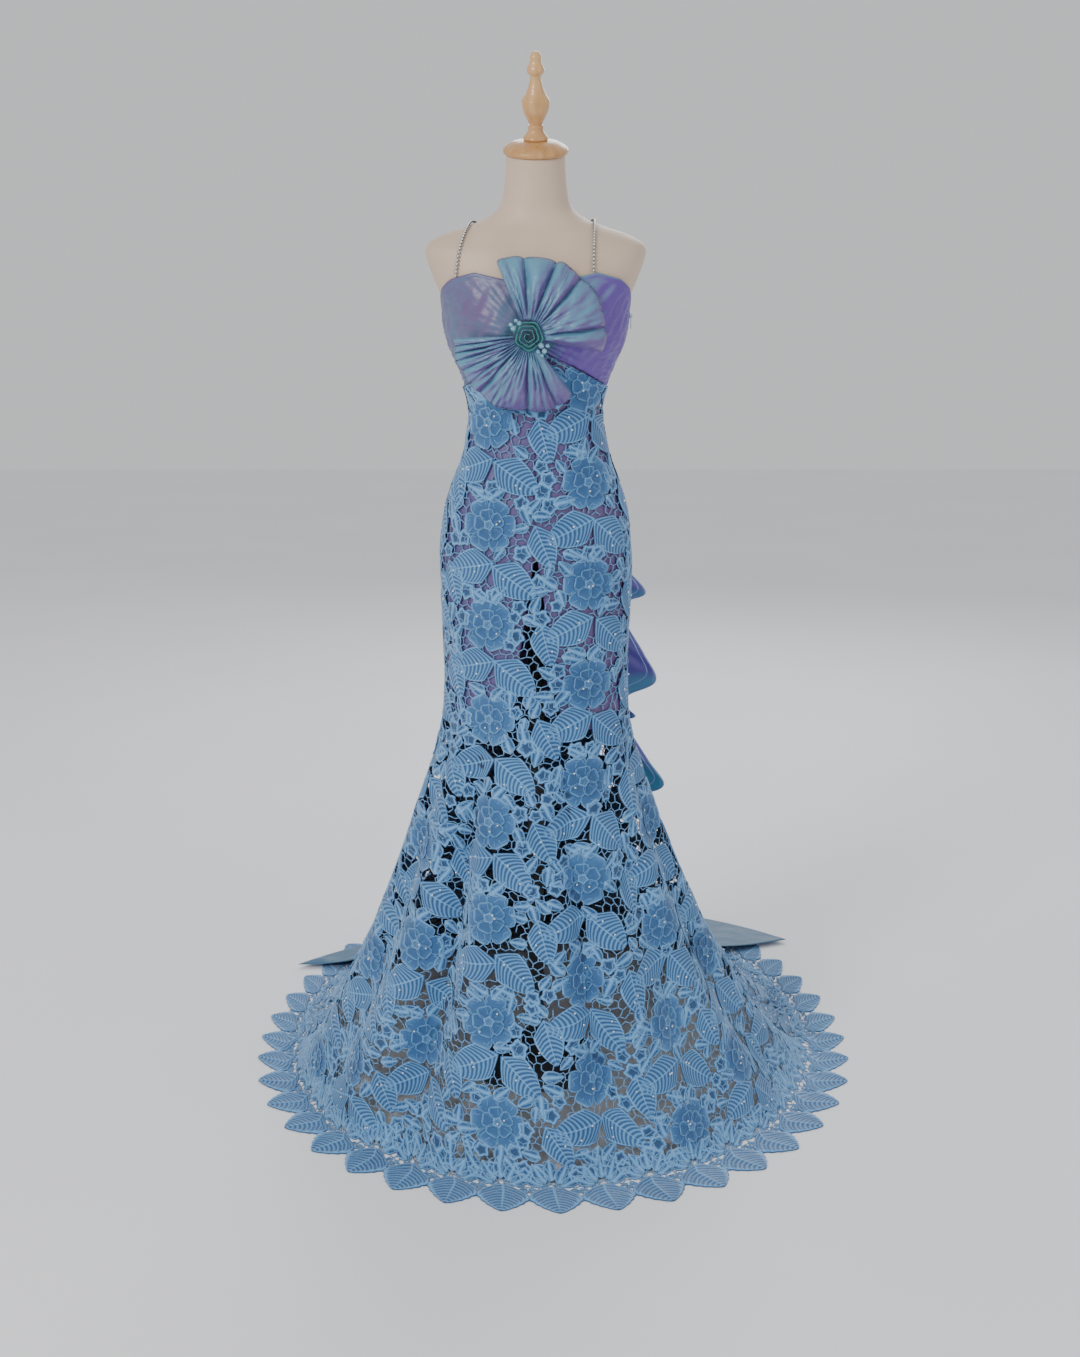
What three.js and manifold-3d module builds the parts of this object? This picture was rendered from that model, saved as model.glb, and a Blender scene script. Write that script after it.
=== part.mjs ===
// A mermaid gown of guipure lace over a short taffeta slip, worn by a dress form on a stand.
// Millimetres, +Z up. The front faces -Y, and +X is to the right when seen from the front.
// The origin is on the floor, in the middle of the underside of the stand's base.
import * as THREE from "three";
import { mergeVertices } from "three/addons/utils/BufferGeometryUtils.js";
import Module from "manifold-3d";

// Driving sizes
const SEAM_GAP = 0.3;
const LACE_SEAM_GAP = 0.6;
const FORM_INSET = 2.2;
const FORM_CLEARANCE = 0.6;
const SLIP_WALL = 1.1;
const LACE_INNER = 4.0;
const LACE_WALL = 2.2;
const MOTIF_RAISE = 1.8;
const TAFFETA_WALL = 1.5;
const FORM_COLUMNS = 36;
const FORM_BOTTOM = 950;
const SLIP_HEM = 660;
const BODICE_SIDE_LOW = 1230;
const BODICE_CENTRE_RISE = 67;
const DEGREE = Math.PI / 180;

// The shape of the figure and of the skirt, from the neck down to the hem on the floor. Each row is
// one level: its height, half width, depth to the front and to the back, shift of its centre, how
// square its outline is (2 is an ellipse), how far it tips forward, and how deep the folds are.
const LEVEL_COLUMNS = [
  "z", "halfWidth", "front", "back", "shiftX", "shiftY", "square", "tip", "fold",
];
const LEVELS = namedRows(LEVEL_COLUMNS, [
  [1600, 50, 50, 50, 0, -12, 2, 0.25, 0],
  [1560, 52, 52, 52, 0, -7, 2, 0.18, 0],
  [1522, 59, 57, 58, 0, 0, 2, 0.1, 0],
  [1502, 80, 62, 68, 0, 5, 2, 0, 0],
  [1489, 112, 68, 76, 0, 8, 2.1, 0, 0],
  [1476, 150, 76, 84, 0, 8, 2.3, 0, 0],
  [1463, 175, 84, 90, 0, 8, 2.5, 0, 0],
  [1449, 183, 92, 95, 0, 6, 2.6, 0, 0],
  [1430, 180, 98, 99, 0, 4, 2.5, 0, 0],
  [1400, 169, 104, 103, 0, 2, 2.3, 0, 0],
  [1365, 155, 107, 104, 0, 0, 2.15, 0, 0],
  [1330, 151, 106, 101, 0, 0, 2.05, 0, 0],
  [1300, 145, 102, 97, 0, 0, 2, 0, 0],
  [1270, 132, 97, 91, 0, 0, 2, 0, 0],
  [1240, 119, 91, 85, 0, 0, 2, 0, 0],
  [1210, 109, 87, 80, 0, 0, 2, 0, 0],
  [1185, 106, 85, 79, 0, 0, 2, 0, 0],
  [1150, 110, 87, 83, 0, 0, 2, 0, 0],
  [1105, 120, 92, 93, 0, 0, 2, 0, 0],
  [1070, 133, 97, 103, 0, 0, 2, 0, 0],
  [1035, 145, 102, 113, 0, 0, 2, 0, 0],
  [1000, 152, 106, 120, 0, 0, 2, 0, 0],
  [950, 157, 109, 123, 0, 0, 2, 0, 0],
  [900, 157, 110, 122, 0, 0, 2, 0, 0],
  [840, 155, 111, 119, 0, 0, 2, 0, 0],
  [775, 153, 113, 118, 0, 0, 2, 0, 0],
  [705, 153, 118, 121, 0, 0, 2, 0, 1],
  [650, 159, 128, 132, 0, 0, 2, 0, 4],
  [600, 171, 143, 148, 0, 0, 2, 0, 8],
  [545, 189, 163, 170, 0, 0, 2, 0, 12],
  [480, 211, 188, 200, 0, 2, 2, 0, 17],
  [410, 236, 215, 232, 2, 5, 2, 0, 22],
  [335, 266, 247, 272, 4, 9, 2, 0, 27],
  [260, 298, 285, 322, 6, 16, 2, 0, 31],
  [185, 336, 330, 384, 9, 28, 2, 0, 33],
  [115, 374, 380, 452, 13, 46, 2, 0, 32],
  [58, 410, 436, 520, 18, 66, 2, 0, 27],
  [18, 440, 492, 580, 22, 84, 2, 0, 18],
  [-4, 468, 542, 636, 26, 102, 2, 0, 8],
  [-4, 498, 588, 690, 30, 120, 2, 0, 0],
]);
const HEM_LEVEL = LEVELS.length - 1;
const LOWEST_HEIGHT = 18;

// The folds of the skirt: where round the body each valley lies (0 is the front, +90 is +X), how
// wide it is and how deep beside the others.
const FOLDS = namedRows(["angle", "spread", "depth"], [
  [-150, 11, 1.1], [-122, 10, 0.9], [-94, 9, 0.8], [-64, 8, 0.8], [-34, 8, 1.6], [-9, 7, 0.3],
  [16, 5.5, 0.9], [43, 8, 0.55], [68, 8, 0.75], [96, 9, 0.9], [124, 10, 1], [152, 11, 1.1],
  [180, 10, 0.7],
]);
const FOLD_RIDGE_LIFT = 0.28;

// The fullness of the bust on the form
const BUST = { x: 71, z: 1318, reachX: 47, reachUp: 56, reachDown: 37, height: 29 };

// The bodice's top edge by its angle round the body
const TOP_EDGE = namedRows(["angle", "z"], [
  [0, 1388], [14, 1402], [30, 1413], [50, 1403], [66, 1388], [90, 1356], [130, 1340], [180, 1334],
]);

function namedRows(columns, rows) {
  return rows.map((row) => Object.fromEntries(columns.map((name, k) => [name, row[k]])));
}

function cubic(p0, p1, p2, p3, t) {
  const bend = 2 * p0 - 5 * p1 + 4 * p2 - p3;
  const turn = 3 * p1 - p0 - 3 * p2 + p3;
  return 0.5 * (2 * p1 + (p2 - p0) * t + bend * t * t + turn * t * t * t);
}

// One smooth value of a table between its rows, at a row number that may be a fraction.
function smoothValue(rows, column, place) {
  const last = rows.length - 1;
  const k = Math.min(Math.max(Math.floor(place), 0), last - 1);
  const at = (n) => rows[Math.min(Math.max(n, 0), last)][column];
  return cubic(at(k - 1), at(k), at(k + 1), at(k + 2), place - k);
}

function levelAt(place) {
  return Object.fromEntries(LEVEL_COLUMNS.map((name) => [name, smoothValue(LEVELS, name, place)]));
}

// The row number in LEVELS, as a fraction, at which a height on the body is reached.
function placeAtHeight(z) {
  let low = 0;
  let high = LEVELS.findIndex((row) => row.z <= LOWEST_HEIGHT);
  for (let step = 0; step < 40; step++) {
    const middle = (low + high) / 2;
    if (smoothValue(LEVELS, "z", middle) > z) low = middle;
    else high = middle;
  }
  return (low + high) / 2;
}

function bell(distance, reach) {
  return Math.exp(-((distance / reach) ** 2));
}

function signedPower(value, power) {
  return Math.sign(value) * Math.abs(value) ** power;
}

// How far a fold moves the skirt out (ridge) or in (valley) at an angle, before its depth.
function foldWave(angle) {
  let wave = FOLD_RIDGE_LIFT;
  for (const fold of FOLDS) {
    const away = Math.atan2(Math.sin(angle - fold.angle * DEGREE), Math.cos(angle - fold.angle * DEGREE));
    wave -= fold.depth * bell(away, fold.spread * DEGREE);
  }
  return wave;
}

function bustFullness(x, z) {
  const reach = z > BUST.z ? BUST.reachUp : BUST.reachDown;
  return BUST.height * bell(Math.abs(x) - BUST.x, BUST.reachX) * bell(z - BUST.z, reach);
}

// A point of the body's surface at a level and an angle round it, with the skirt's folds or others.
function surface(place, angle, wave = foldWave) {
  const level = levelAt(place);
  const sine = Math.sin(angle);
  const cosine = Math.cos(angle);
  const depth = cosine > 0 ? level.front : level.back;
  const bulge = 2 / level.square;
  const out = level.fold * wave(angle);
  const x = level.shiftX + (level.halfWidth + out) * signedPower(sine, bulge);
  let y = level.shiftY - (depth + out) * signedPower(cosine, bulge);
  if (cosine > 0) y -= bustFullness(x, level.z) * Math.sqrt(cosine);
  return new THREE.Vector3(x, y, level.z + level.tip * (y - level.shiftY));
}

const STEP = 0.02;

function alongAngle(place, angle, wave) {
  const before = surface(place, angle - STEP, wave);
  return surface(place, angle + STEP, wave).sub(before).divideScalar(2 * STEP);
}

function alongLevel(place, angle, wave) {
  const low = Math.max(place - STEP, 0);
  const high = Math.min(place + STEP, HEM_LEVEL);
  const before = surface(low, angle, wave);
  return surface(high, angle, wave).sub(before).divideScalar(high - low);
}

// A point moved out from the body's surface by a distance.
function offsetPoint(place, angle, distance, wave) {
  const down = alongLevel(place, angle, wave);
  const normal = down.cross(alongAngle(place, angle, wave)).normalize();
  return surface(place, angle, wave).addScaledVector(normal, distance);
}

// A point of the gown's cloth, which never goes under the floor.
function clothPoint(place, angle, distance, floor) {
  const point = offsetPoint(place, angle, distance);
  point.z = Math.max(point.z, floor);
  return point;
}

// A flat net of triangles, to be given thickness. A corner is any value that its points are made from.
class Net {
  constructor() {
    this.corners = [];
    this.triangles = [];
  }

  add(corner) {
    return this.corners.push(corner) - 1;
  }

  fill(...loop) {
    for (let k = 1; k < loop.length - 1; k++) this.triangles.push([loop[0], loop[k], loop[k + 1]]);
  }
}

// A net of rows and columns whose corners are made by a function of the column and row numbers.
function gridNet(columns, rows, corner, isOpen = () => false) {
  const net = new Net();
  const at = [];
  for (let j = 0; j <= rows; j++) {
    at.push([]);
    for (let i = 0; i <= columns; i++) at[j].push(net.add(corner(i, j)));
  }
  for (let j = 0; j < rows; j++) {
    for (let i = 0; i < columns; i++) {
      if (!isOpen(i, j)) net.fill(at[j][i], at[j + 1][i], at[j + 1][i + 1], at[j][i + 1]);
    }
  }
  return net;
}

// A closed wall from a net: its outer face, its inner face, and its edges round the rim and openings.
function wall(net, outer, inner) {
  const count = net.corners.length;
  const points = [...net.corners.map(outer), ...net.corners.map(inner)];
  const faces = [];
  const sides = new Map();
  for (const [a, b, c] of net.triangles) {
    faces.push(a, b, c, c + count, b + count, a + count);
    for (const [from, to] of [[a, b], [b, c], [c, a]]) sides.set(from + ">" + to, [from, to]);
  }
  for (const [from, to] of sides.values()) {
    if (sides.has(to + ">" + from)) continue;
    faces.push(from, from + count, to, to, from + count, to + count);
  }
  return closed(points, faces);
}

function closed(points, faces) {
  const geometry = new THREE.BufferGeometry().setFromPoints(points);
  geometry.setIndex(faces);
  return mergeVertices(geometry, 1e-4);
}

// A closed solid through rings of equal count, the first ring on top, with flat ends.
function loft(rings) {
  const count = rings[0].length;
  const points = rings.flat();
  const faces = [];
  for (let j = 0; j < rings.length - 1; j++) {
    for (let i = 0; i < count; i++) {
      const next = (i + 1) % count;
      const a = j * count + i;
      const b = (j + 1) * count + i;
      const c = (j + 1) * count + next;
      const d = j * count + next;
      faces.push(a, b, c, a, c, d);
    }
  }
  for (let i = 1; i < count - 1; i++) {
    const low = (rings.length - 1) * count;
    faces.push(0, i, i + 1, low, low + i + 1, low + i);
  }
  return closed(points, faces);
}

const parts = new THREE.Group();

function addPart(name, geometry, material) {
  const mesh = new THREE.Mesh(geometry, material);
  mesh.name = name;
  parts.add(mesh);
  return mesh;
}

const finish = (color, roughness, metalness = 0) =>
  new THREE.MeshStandardMaterial({ color, roughness, metalness });
const LACE = finish(0x5f97ad, 0.8);
const TAFFETA = finish(0x5d6aa6, 0.38);
const SLIP = finish(0x6b5a8e, 0.5);
const ROSE = finish(0x14564f, 0.4);
const SHELL = finish(0xd8cabd, 0.45);
const WOOD = finish(0xd3a468, 0.5);
const STEEL = finish(0x8a8c8e, 0.35, 0.8);
const STONES = finish(0xc9ccd6, 0.15, 0.7);

// The stand and the form
const BASE = { radius: 120, height: 16, edge: 4, sides: 32 };
const POLE = { radius: 14, sides: 16 };

function baseGeometry() {
  const profile = [
    [0, 0], [BASE.radius, 0], [BASE.radius, BASE.height - BASE.edge],
    [BASE.radius - BASE.edge, BASE.height], [0, BASE.height],
  ];
  return turned(profile, BASE.sides);
}

// A solid turned round the Z axis from a profile of radius and height.
function turned(profile, sides) {
  const geometry = new THREE.LatheGeometry(profile.map(([r, z]) => new THREE.Vector2(r, z)), sides);
  geometry.rotateX(Math.PI / 2);
  geometry.deleteAttribute("normal");
  geometry.deleteAttribute("uv");
  return mergeVertices(geometry, 1e-3);
}

function makeStand() {
  addPart("stand_base", baseGeometry(), STEEL);
  const low = BASE.height + SEAM_GAP;
  const high = FORM_BOTTOM - SEAM_GAP;
  const pole = turned([[0, low], [POLE.radius, low], [POLE.radius, high], [0, high]], POLE.sides);
  addPart("stand_pole", pole, STEEL);
}

function makeForm() {
  const bottom = LEVELS.findIndex((row) => row.z === FORM_BOTTOM);
  const rings = [];
  for (let place = 0; place <= bottom; place++) {
    const ring = [];
    for (let i = 0; i < FORM_COLUMNS; i++) {
      ring.push(offsetPoint(place, (i / FORM_COLUMNS) * 2 * Math.PI, -FORM_INSET));
    }
    rings.push(ring);
  }
  addPart("form_torso", loft(rings), SHELL);
}

// The wooden cap and finial, turned about the neck's own axis, which leans forward.
const CAP_PROFILE = [
  [0, 0], [51.5, 0], [53, 3], [53, 6.5], [49, 11], [38, 17], [24, 20.5], [0, 20.5],
];
const FINIAL_PROFILE = [
  [0, 0], [19, 0], [20, 4], [12.5, 15], [12.5, 23], [10.5, 25], [20, 45], [22.5, 60], [20.5, 65],
  [14.5, 75], [8.3, 96], [13, 104], [14, 110], [9, 120.5], [8.6, 129], [4, 135.5], [0, 136],
];
const CAP_SIDES = 24;
const FINIAL_SIDES = 16;

function makeNeckTrim() {
  const neck = levelAt(0);
  const lean = Math.atan(neck.tip);
  const axis = new THREE.Group();
  axis.position.set(neck.shiftX, neck.shiftY, neck.z);
  axis.rotation.x = lean;
  const cap = addPart("neck_cap", turned(CAP_PROFILE, CAP_SIDES), WOOD);
  cap.position.z = SEAM_GAP;
  const finial = addPart("finial", turned(FINIAL_PROFILE, FINIAL_SIDES), WOOD);
  finial.position.z = CAP_PROFILE.at(-1)[1] + 2 * SEAM_GAP;
  axis.add(cap, finial);
  parts.add(axis);
}

// Where the bodice ends and the lace begins: it rises to a point at the centre front.
function bodiceLowEdge(angle) {
  if (Math.cos(angle) <= 0) return BODICE_SIDE_LOW;
  return BODICE_SIDE_LOW + BODICE_CENTRE_RISE * (1 - Math.abs(Math.sin(angle)));
}

function bodiceTopEdge(angle) {
  const degrees = Math.abs(Math.atan2(Math.sin(angle), Math.cos(angle))) / DEGREE;
  const k = Math.max(1, TOP_EDGE.findIndex((row) => row.angle >= degrees));
  const share = (degrees - TOP_EDGE[k - 1].angle) / (TOP_EDGE[k].angle - TOP_EDGE[k - 1].angle);
  return THREE.MathUtils.lerp(TOP_EDGE[k - 1].z, TOP_EDGE[k].z, share);
}

// The flower sits at the centre front, and the cups' gathers run towards it.
const FLOWER = { x: -12, z: 1315, radius: 124 };
const CUP_GATHERS = { count: 9, height: 1.1 };

function cupGather(point) {
  const turn = Math.atan2(point.z - FLOWER.z, point.x - FLOWER.x);
  const away = Math.hypot(point.z - FLOWER.z, point.x - FLOWER.x);
  return CUP_GATHERS.height * (1 + Math.cos(turn * 2 * CUP_GATHERS.count)) * bell(away, FLOWER.radius);
}

function bodicePanel(name, from, to, columns, rows) {
  const net = gridNet(columns, rows, (i, j) => {
    const angle = THREE.MathUtils.lerp(from, to, i / columns) * DEGREE;
    const top = bodiceTopEdge(angle);
    const low = bodiceLowEdge(angle);
    return { angle, place: placeAtHeight(THREE.MathUtils.lerp(top, low, j / rows)) };
  });
  const inner = FORM_CLEARANCE;
  const geometry = wall(
    net,
    ({ place, angle }) => {
      const point = offsetPoint(place, angle, inner + TAFFETA_WALL);
      const gather = Math.cos(angle) > 0 ? cupGather(point) : 0;
      return offsetPoint(place, angle, inner + TAFFETA_WALL + gather);
    },
    ({ place, angle }) => offsetPoint(place, angle, inner),
  );
  addPart(name, geometry, TAFFETA);
}

const SIDE_SEAM_GAP_ANGLE = 0.06;

function makeBodice() {
  const gap = SIDE_SEAM_GAP_ANGLE;
  bodicePanel("bodice_cup_right", gap, 90 - gap, 12, 7);
  bodicePanel("bodice_cup_left", -90 + gap, -gap, 12, 7);
  bodicePanel("bodice_back", 90 + gap, 270 - gap, 14, 4);
}

// The slip under the lace, open at the centre front in a slit that widens downwards.
const SLIP_SLIT = { top: 968, hemHalfWidth: 46 };
const SLIP_HEIGHTS = [1105, 1070, 1035, 1000, 950, 840, 705, SLIP_HEM];
const YOKE_LOW = 1150;
const YOKE_ROWS = 3;

// The rows of the slip and of the lace above the hip are the same, so that the two lie close.
function yokePlace(row, angle) {
  const top = placeAtHeight(bodiceLowEdge(angle) - SEAM_GAP);
  return THREE.MathUtils.lerp(top, placeAtHeight(YOKE_LOW), row / YOKE_ROWS);
}

function slipPlace(row, angle) {
  if (row <= YOKE_ROWS) return yokePlace(row, angle);
  return placeAtHeight(SLIP_HEIGHTS[row - YOKE_ROWS - 1]);
}

// The slit side of a front panel is drawn aside below the top of the slit.
function slitShift(place, towardsSlit) {
  const level = levelAt(place);
  const open = THREE.MathUtils.clamp((SLIP_SLIT.top - level.z) / (SLIP_SLIT.top - SLIP_HEM), 0, 1);
  return (open * SLIP_SLIT.hemHalfWidth * towardsSlit) / level.halfWidth;
}

function slipPanel(name, from, to, columns, slitSide) {
  const rows = YOKE_ROWS + SLIP_HEIGHTS.length;
  const net = gridNet(columns, rows, (i, j) => {
    const angle = THREE.MathUtils.lerp(from, to, i / columns) * DEGREE;
    const place = slipPlace(j, angle);
    const towardsSlit = slitSide > 0 ? 1 - i / columns : i / columns;
    return { place, angle: angle + slitSide * slitShift(place, towardsSlit) };
  });
  const outer = FORM_CLEARANCE + SLIP_WALL;
  const geometry = wall(
    net,
    ({ place, angle }) => offsetPoint(place, angle, outer),
    ({ place, angle }) => offsetPoint(place, angle, FORM_CLEARANCE),
  );
  addPart(name, geometry, SLIP);
}

function makeSlip() {
  const gap = SIDE_SEAM_GAP_ANGLE * 2;
  slipPanel("slip_front_right", gap, 90 - gap, 6, 1);
  slipPanel("slip_front_left", -90 + gap, -gap, 6, -1);
  slipPanel("slip_back", 90 + gap, 270 - gap, 12, 0);
}

// The lace skirt is six gores. Each has a flat layout of motifs measured from its own centre line.
const GORES = namedRows(["name", "centre", "shift"], [
  ["lace_front", 0, -18],
  ["lace_side_front_right", 60, 8],
  ["lace_side_back_right", 120, -10],
  ["lace_back", 180, 0],
  ["lace_side_back_left", 240, 12],
  ["lace_side_front_left", 300, -6],
]);
const GORE_HALF_ANGLE = 30;
const GORE_COLUMNS = 7;
const UPPER_ROWS = 15;
const LOWER_ROWS = 13;
const YOKE_LEVEL = 17;
const DOUBLING_LEVEL = YOKE_LEVEL + UPPER_ROWS - YOKE_ROWS;
const SCALLOP = { length: 60, shoulder: 0.5, shoulderHalf: 0.21 };

// The lace's repeat: two big leaves and a rose, with the places and sizes of each.
const REPEAT = { width: 150, height: 166 };
const MOTIFS = namedRows(["kind", "x", "y", "length", "width", "turn"], [
  ["leaf", -40, 34, 72, 50, 25],
  ["leaf", 34, 40, 76, 48, 135],
  ["rose", -8, 122, 68, 68, 0],
]);
const MOTIF_SNAP = 8;
const GAPS_A_GORE = 50;
const GAP_SIZE = 19;
const GAP_CLEARANCE = 1;

// The level, as a row number, of a row of the lace at an angle.
function laceLevel(row, angle) {
  if (row <= YOKE_ROWS) return yokePlace(row, angle);
  if (row <= UPPER_ROWS) return YOKE_LEVEL + row - YOKE_ROWS;
  return THREE.MathUtils.lerp(DOUBLING_LEVEL, HEM_LEVEL, (row - UPPER_ROWS) / LOWER_ROWS);
}

function lengthDown(fromPlace, toPlace, angle) {
  const steps = 24;
  let total = 0;
  let last = surface(fromPlace, angle);
  for (let k = 1; k <= steps; k++) {
    const next = surface(THREE.MathUtils.lerp(fromPlace, toPlace, k / steps), angle);
    total += next.distanceTo(last);
    last = next;
  }
  return total;
}

function lengthRound(place, fromAngle, toAngle) {
  const steps = 12;
  let total = 0;
  let last = surface(place, fromAngle);
  for (let k = 1; k <= steps; k++) {
    const next = surface(place, THREE.MathUtils.lerp(fromAngle, toAngle, k / steps));
    total += next.distanceTo(last);
    last = next;
  }
  return total * Math.sign(toAngle - fromAngle);
}

// The nearest motif's outline to a flat point: how far outside it the point is, and which way out.
function nearestMotif(x, y) {
  let best = null;
  for (const motif of MOTIFS) {
    const column = Math.round((x - motif.x) / REPEAT.width);
    const row = Math.round((y - motif.y) / REPEAT.height);
    const dx = x - motif.x - column * REPEAT.width;
    const dy = y - motif.y - row * REPEAT.height;
    const turn = motif.turn * DEGREE;
    const along = (dx * Math.cos(turn) + dy * Math.sin(turn)) / (motif.length / 2);
    const across = (dy * Math.cos(turn) - dx * Math.sin(turn)) / (motif.width / 2);
    const size = Math.hypot(along, across);
    const away = (size - 1) * (motif.width / 2);
    const distance = Math.hypot(dx, dy) || 1;
    if (!best || away < best.away) best = { away, size, outX: dx / distance, outY: dy / distance };
  }
  return best;
}

// A corner of the lace: near a motif's outline it is moved onto it, and within one it is raised.
function laceCorner(gore, row, share) {
  const angle = (gore.centre + (2 * share - 1) * GORE_HALF_ANGLE) * DEGREE;
  const place = laceLevel(row, angle);
  const centre = gore.centre * DEGREE;
  const start = laceLevel(0, centre);
  const x = lengthRound(place, centre, angle) + gore.shift;
  const y = lengthDown(start, Math.max(place, start + 1e-3), centre);
  const motif = nearestMotif(x, y);
  const movable = share > 0 && share < 1 && row > 0 && row < UPPER_ROWS + LOWER_ROWS;
  const corner = { gore, place, angle, share, raise: 0, away: motif.away, movable };
  if (movable && Math.abs(motif.away) < MOTIF_SNAP) {
    corner.angle -= (motif.away * motif.outX) / alongAngle(place, angle).length();
    corner.place -= (motif.away * motif.outY) / alongLevel(place, angle).length();
  }
  if (motif.away < MOTIF_SNAP) corner.raise = MOTIF_RAISE * (motif.size < 0.6 ? 0.6 : 1);
  return corner;
}

// Draws a gap's four corners in, so that the gap has the size of the lace's largest ones.
function closeIn(corners) {
  const angle = corners.reduce((sum, c) => sum + c.angle, 0) / 4;
  const place = corners.reduce((sum, c) => sum + c.place, 0) / 4;
  const round = alongAngle(place, angle).length();
  const down = alongLevel(place, angle).length();
  for (const c of corners) {
    c.raise = 0;
    const wide = Math.abs(c.angle - angle) * round;
    const tall = Math.abs(c.place - place) * down;
    c.angle = angle + (c.angle - angle) * Math.min(1, GAP_SIZE / 2 / wide);
    c.place = place + (c.place - place) * Math.min(1, GAP_SIZE / 2 / tall);
  }
}

// The cells of a gore that are cut through: those farthest from the motifs come first, and no two
// touch at a corner.
function chooseGaps(cells, net) {
  const taken = new Set();
  const clearance = (cell) => cell.reduce((sum, k) => sum + net.corners[k].away, 0) / cell.length;
  const inside = (cell) => cell.every((k) => net.corners[k].movable);
  const candidates = cells.filter((cell) => inside(cell) && clearance(cell) > GAP_CLEARANCE);
  candidates.sort((a, b) => clearance(b) - clearance(a));
  const chosen = new Set();
  for (const cell of candidates) {
    if (chosen.size >= GAPS_A_GORE || cell.some((k) => taken.has(k))) continue;
    cell.forEach((k) => taken.add(k));
    chosen.add(cell);
  }
  return chosen;
}

function goreNet(gore) {
  const net = new Net();
  const rowsInAll = UPPER_ROWS + LOWER_ROWS;
  const at = [];
  for (let row = 0; row <= rowsInAll; row++) {
    const columns = row < UPPER_ROWS ? GORE_COLUMNS : 2 * GORE_COLUMNS;
    at.push([]);
    for (let i = 0; i <= columns; i++) at[row].push(net.add(laceCorner(gore, row, i / columns)));
  }
  const cells = [];
  for (let row = 0; row < rowsInAll; row++) {
    const upper = at[row];
    const lower = at[row + 1];
    for (let i = 0; i < upper.length - 1; i++) {
      if (lower.length > upper.length) {
        net.fill(upper[i], lower[2 * i], lower[2 * i + 1], lower[2 * i + 2], upper[i + 1]);
      } else {
        cells.push([upper[i], lower[i], lower[i + 1], upper[i + 1]]);
      }
    }
  }
  const gaps = chooseGaps(cells, net);
  for (const cell of cells) {
    if (gaps.has(cell)) closeIn(cell.map((k) => net.corners[k]));
    else net.fill(...cell);
  }
  addScallops(net, gore, at[rowsInAll]);
  return net;
}

// The border of leaves: one scallop on every second column, lying flat beyond the hem.
function addScallops(net, gore, border) {
  for (let i = 0; i < border.length - 1; i += 2) {
    const beyond = (share, reach) => {
      const corner = { ...net.corners[border[i + 1]], beyond: reach * SCALLOP.length, raise: MOTIF_RAISE };
      corner.share = (i + share * 2) / (border.length - 1);
      corner.angle = (gore.centre + (2 * corner.share - 1) * GORE_HALF_ANGLE) * DEGREE;
      return net.add(corner);
    };
    const left = beyond(0.5 - SCALLOP.shoulderHalf * 2, SCALLOP.shoulder);
    const tip = beyond(0.5, 1);
    const right = beyond(0.5 + SCALLOP.shoulderHalf * 2, SCALLOP.shoulder);
    net.fill(border[i + 1], border[i], left, tip, right, border[i + 2]);
  }
}

function lacePoint(corner, distance, floor) {
  const half = GORE_HALF_ANGLE * DEGREE;
  const round = alongAngle(Math.min(corner.place, HEM_LEVEL), corner.angle).length();
  const squeeze = 1 - LACE_SEAM_GAP / 2 / (round * half);
  const centre = corner.gore.centre * DEGREE;
  const angle = centre + (corner.angle - centre) * squeeze;
  const point = clothPoint(corner.place, angle, distance, floor);
  if (corner.beyond) {
    const level = levelAt(HEM_LEVEL);
    const out = new THREE.Vector3(point.x - level.shiftX, point.y - level.shiftY, 0).normalize();
    point.addScaledVector(out, corner.beyond);
  }
  return point;
}

function makeLace() {
  for (const gore of GORES) {
    const geometry = wall(
      goreNet(gore),
      (corner) => lacePoint(corner, LACE_INNER + LACE_WALL + corner.raise, LACE_WALL),
      (corner) => lacePoint(corner, LACE_INNER, 0),
    );
    addPart(gore.name, geometry, LACE);
  }
}

// The flower: two gathered wings round a rolled rose. Each wing has its own span and its puffs.
const FLOWER_DOME = { front: 136.1, fall: 0.0022 };
const WINGS = namedRows(["name", "from", "to", "puffs", "core", "radius", "lift"], [
  ["flower_wing_upper", -13, 114, 7, 24.8, 128, 24],
  ["flower_wing_lower", 180, 309, 8, 21.2, 124, 20],
]);
const WING = { rows: 4, columnsPerPuff: 3, bodyGap: 1.8, ripple: 0.12 };

// The front of the bodice at a place seen from the front: the surface's smallest y there.
function frontAt(x, z) {
  const place = placeAtHeight(z);
  let low = -Math.PI / 2;
  let high = Math.PI / 2;
  for (let step = 0; step < 30; step++) {
    const middle = (low + high) / 2;
    if (surface(place, middle).x < x) low = middle;
    else high = middle;
  }
  return surface(place, (low + high) / 2).y;
}

function wingBase(x, z) {
  const away = Math.hypot(x - FLOWER.x, z - FLOWER.z);
  const dome = -FLOWER_DOME.front + FLOWER_DOME.fall * away * away;
  return Math.min(dome, frontAt(x, z) - FORM_CLEARANCE - TAFFETA_WALL - WING.bodyGap);
}

// A point of a wing: the turn goes across its puffs, and each puff rises most at its rim.
function wingPoint(wing, corner, distance) {
  const { turn, reach } = corner;
  const puff = Math.abs(Math.sin(turn * wing.puffs * Math.PI));
  const angle = THREE.MathUtils.lerp(wing.from, wing.to, turn) * DEGREE;
  const rim = wing.radius * (1 - WING.ripple * (1 - puff));
  const radius = THREE.MathUtils.lerp(wing.core, rim, reach);
  const x = FLOWER.x + radius * Math.cos(angle);
  const z = FLOWER.z + radius * Math.sin(angle);
  const lift = wing.lift * puff ** 0.8 * Math.sin(Math.min(1, reach * 1.15) * Math.PI * 0.62);
  return new THREE.Vector3(x, wingBase(x, z) - lift - distance, z);
}

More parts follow.
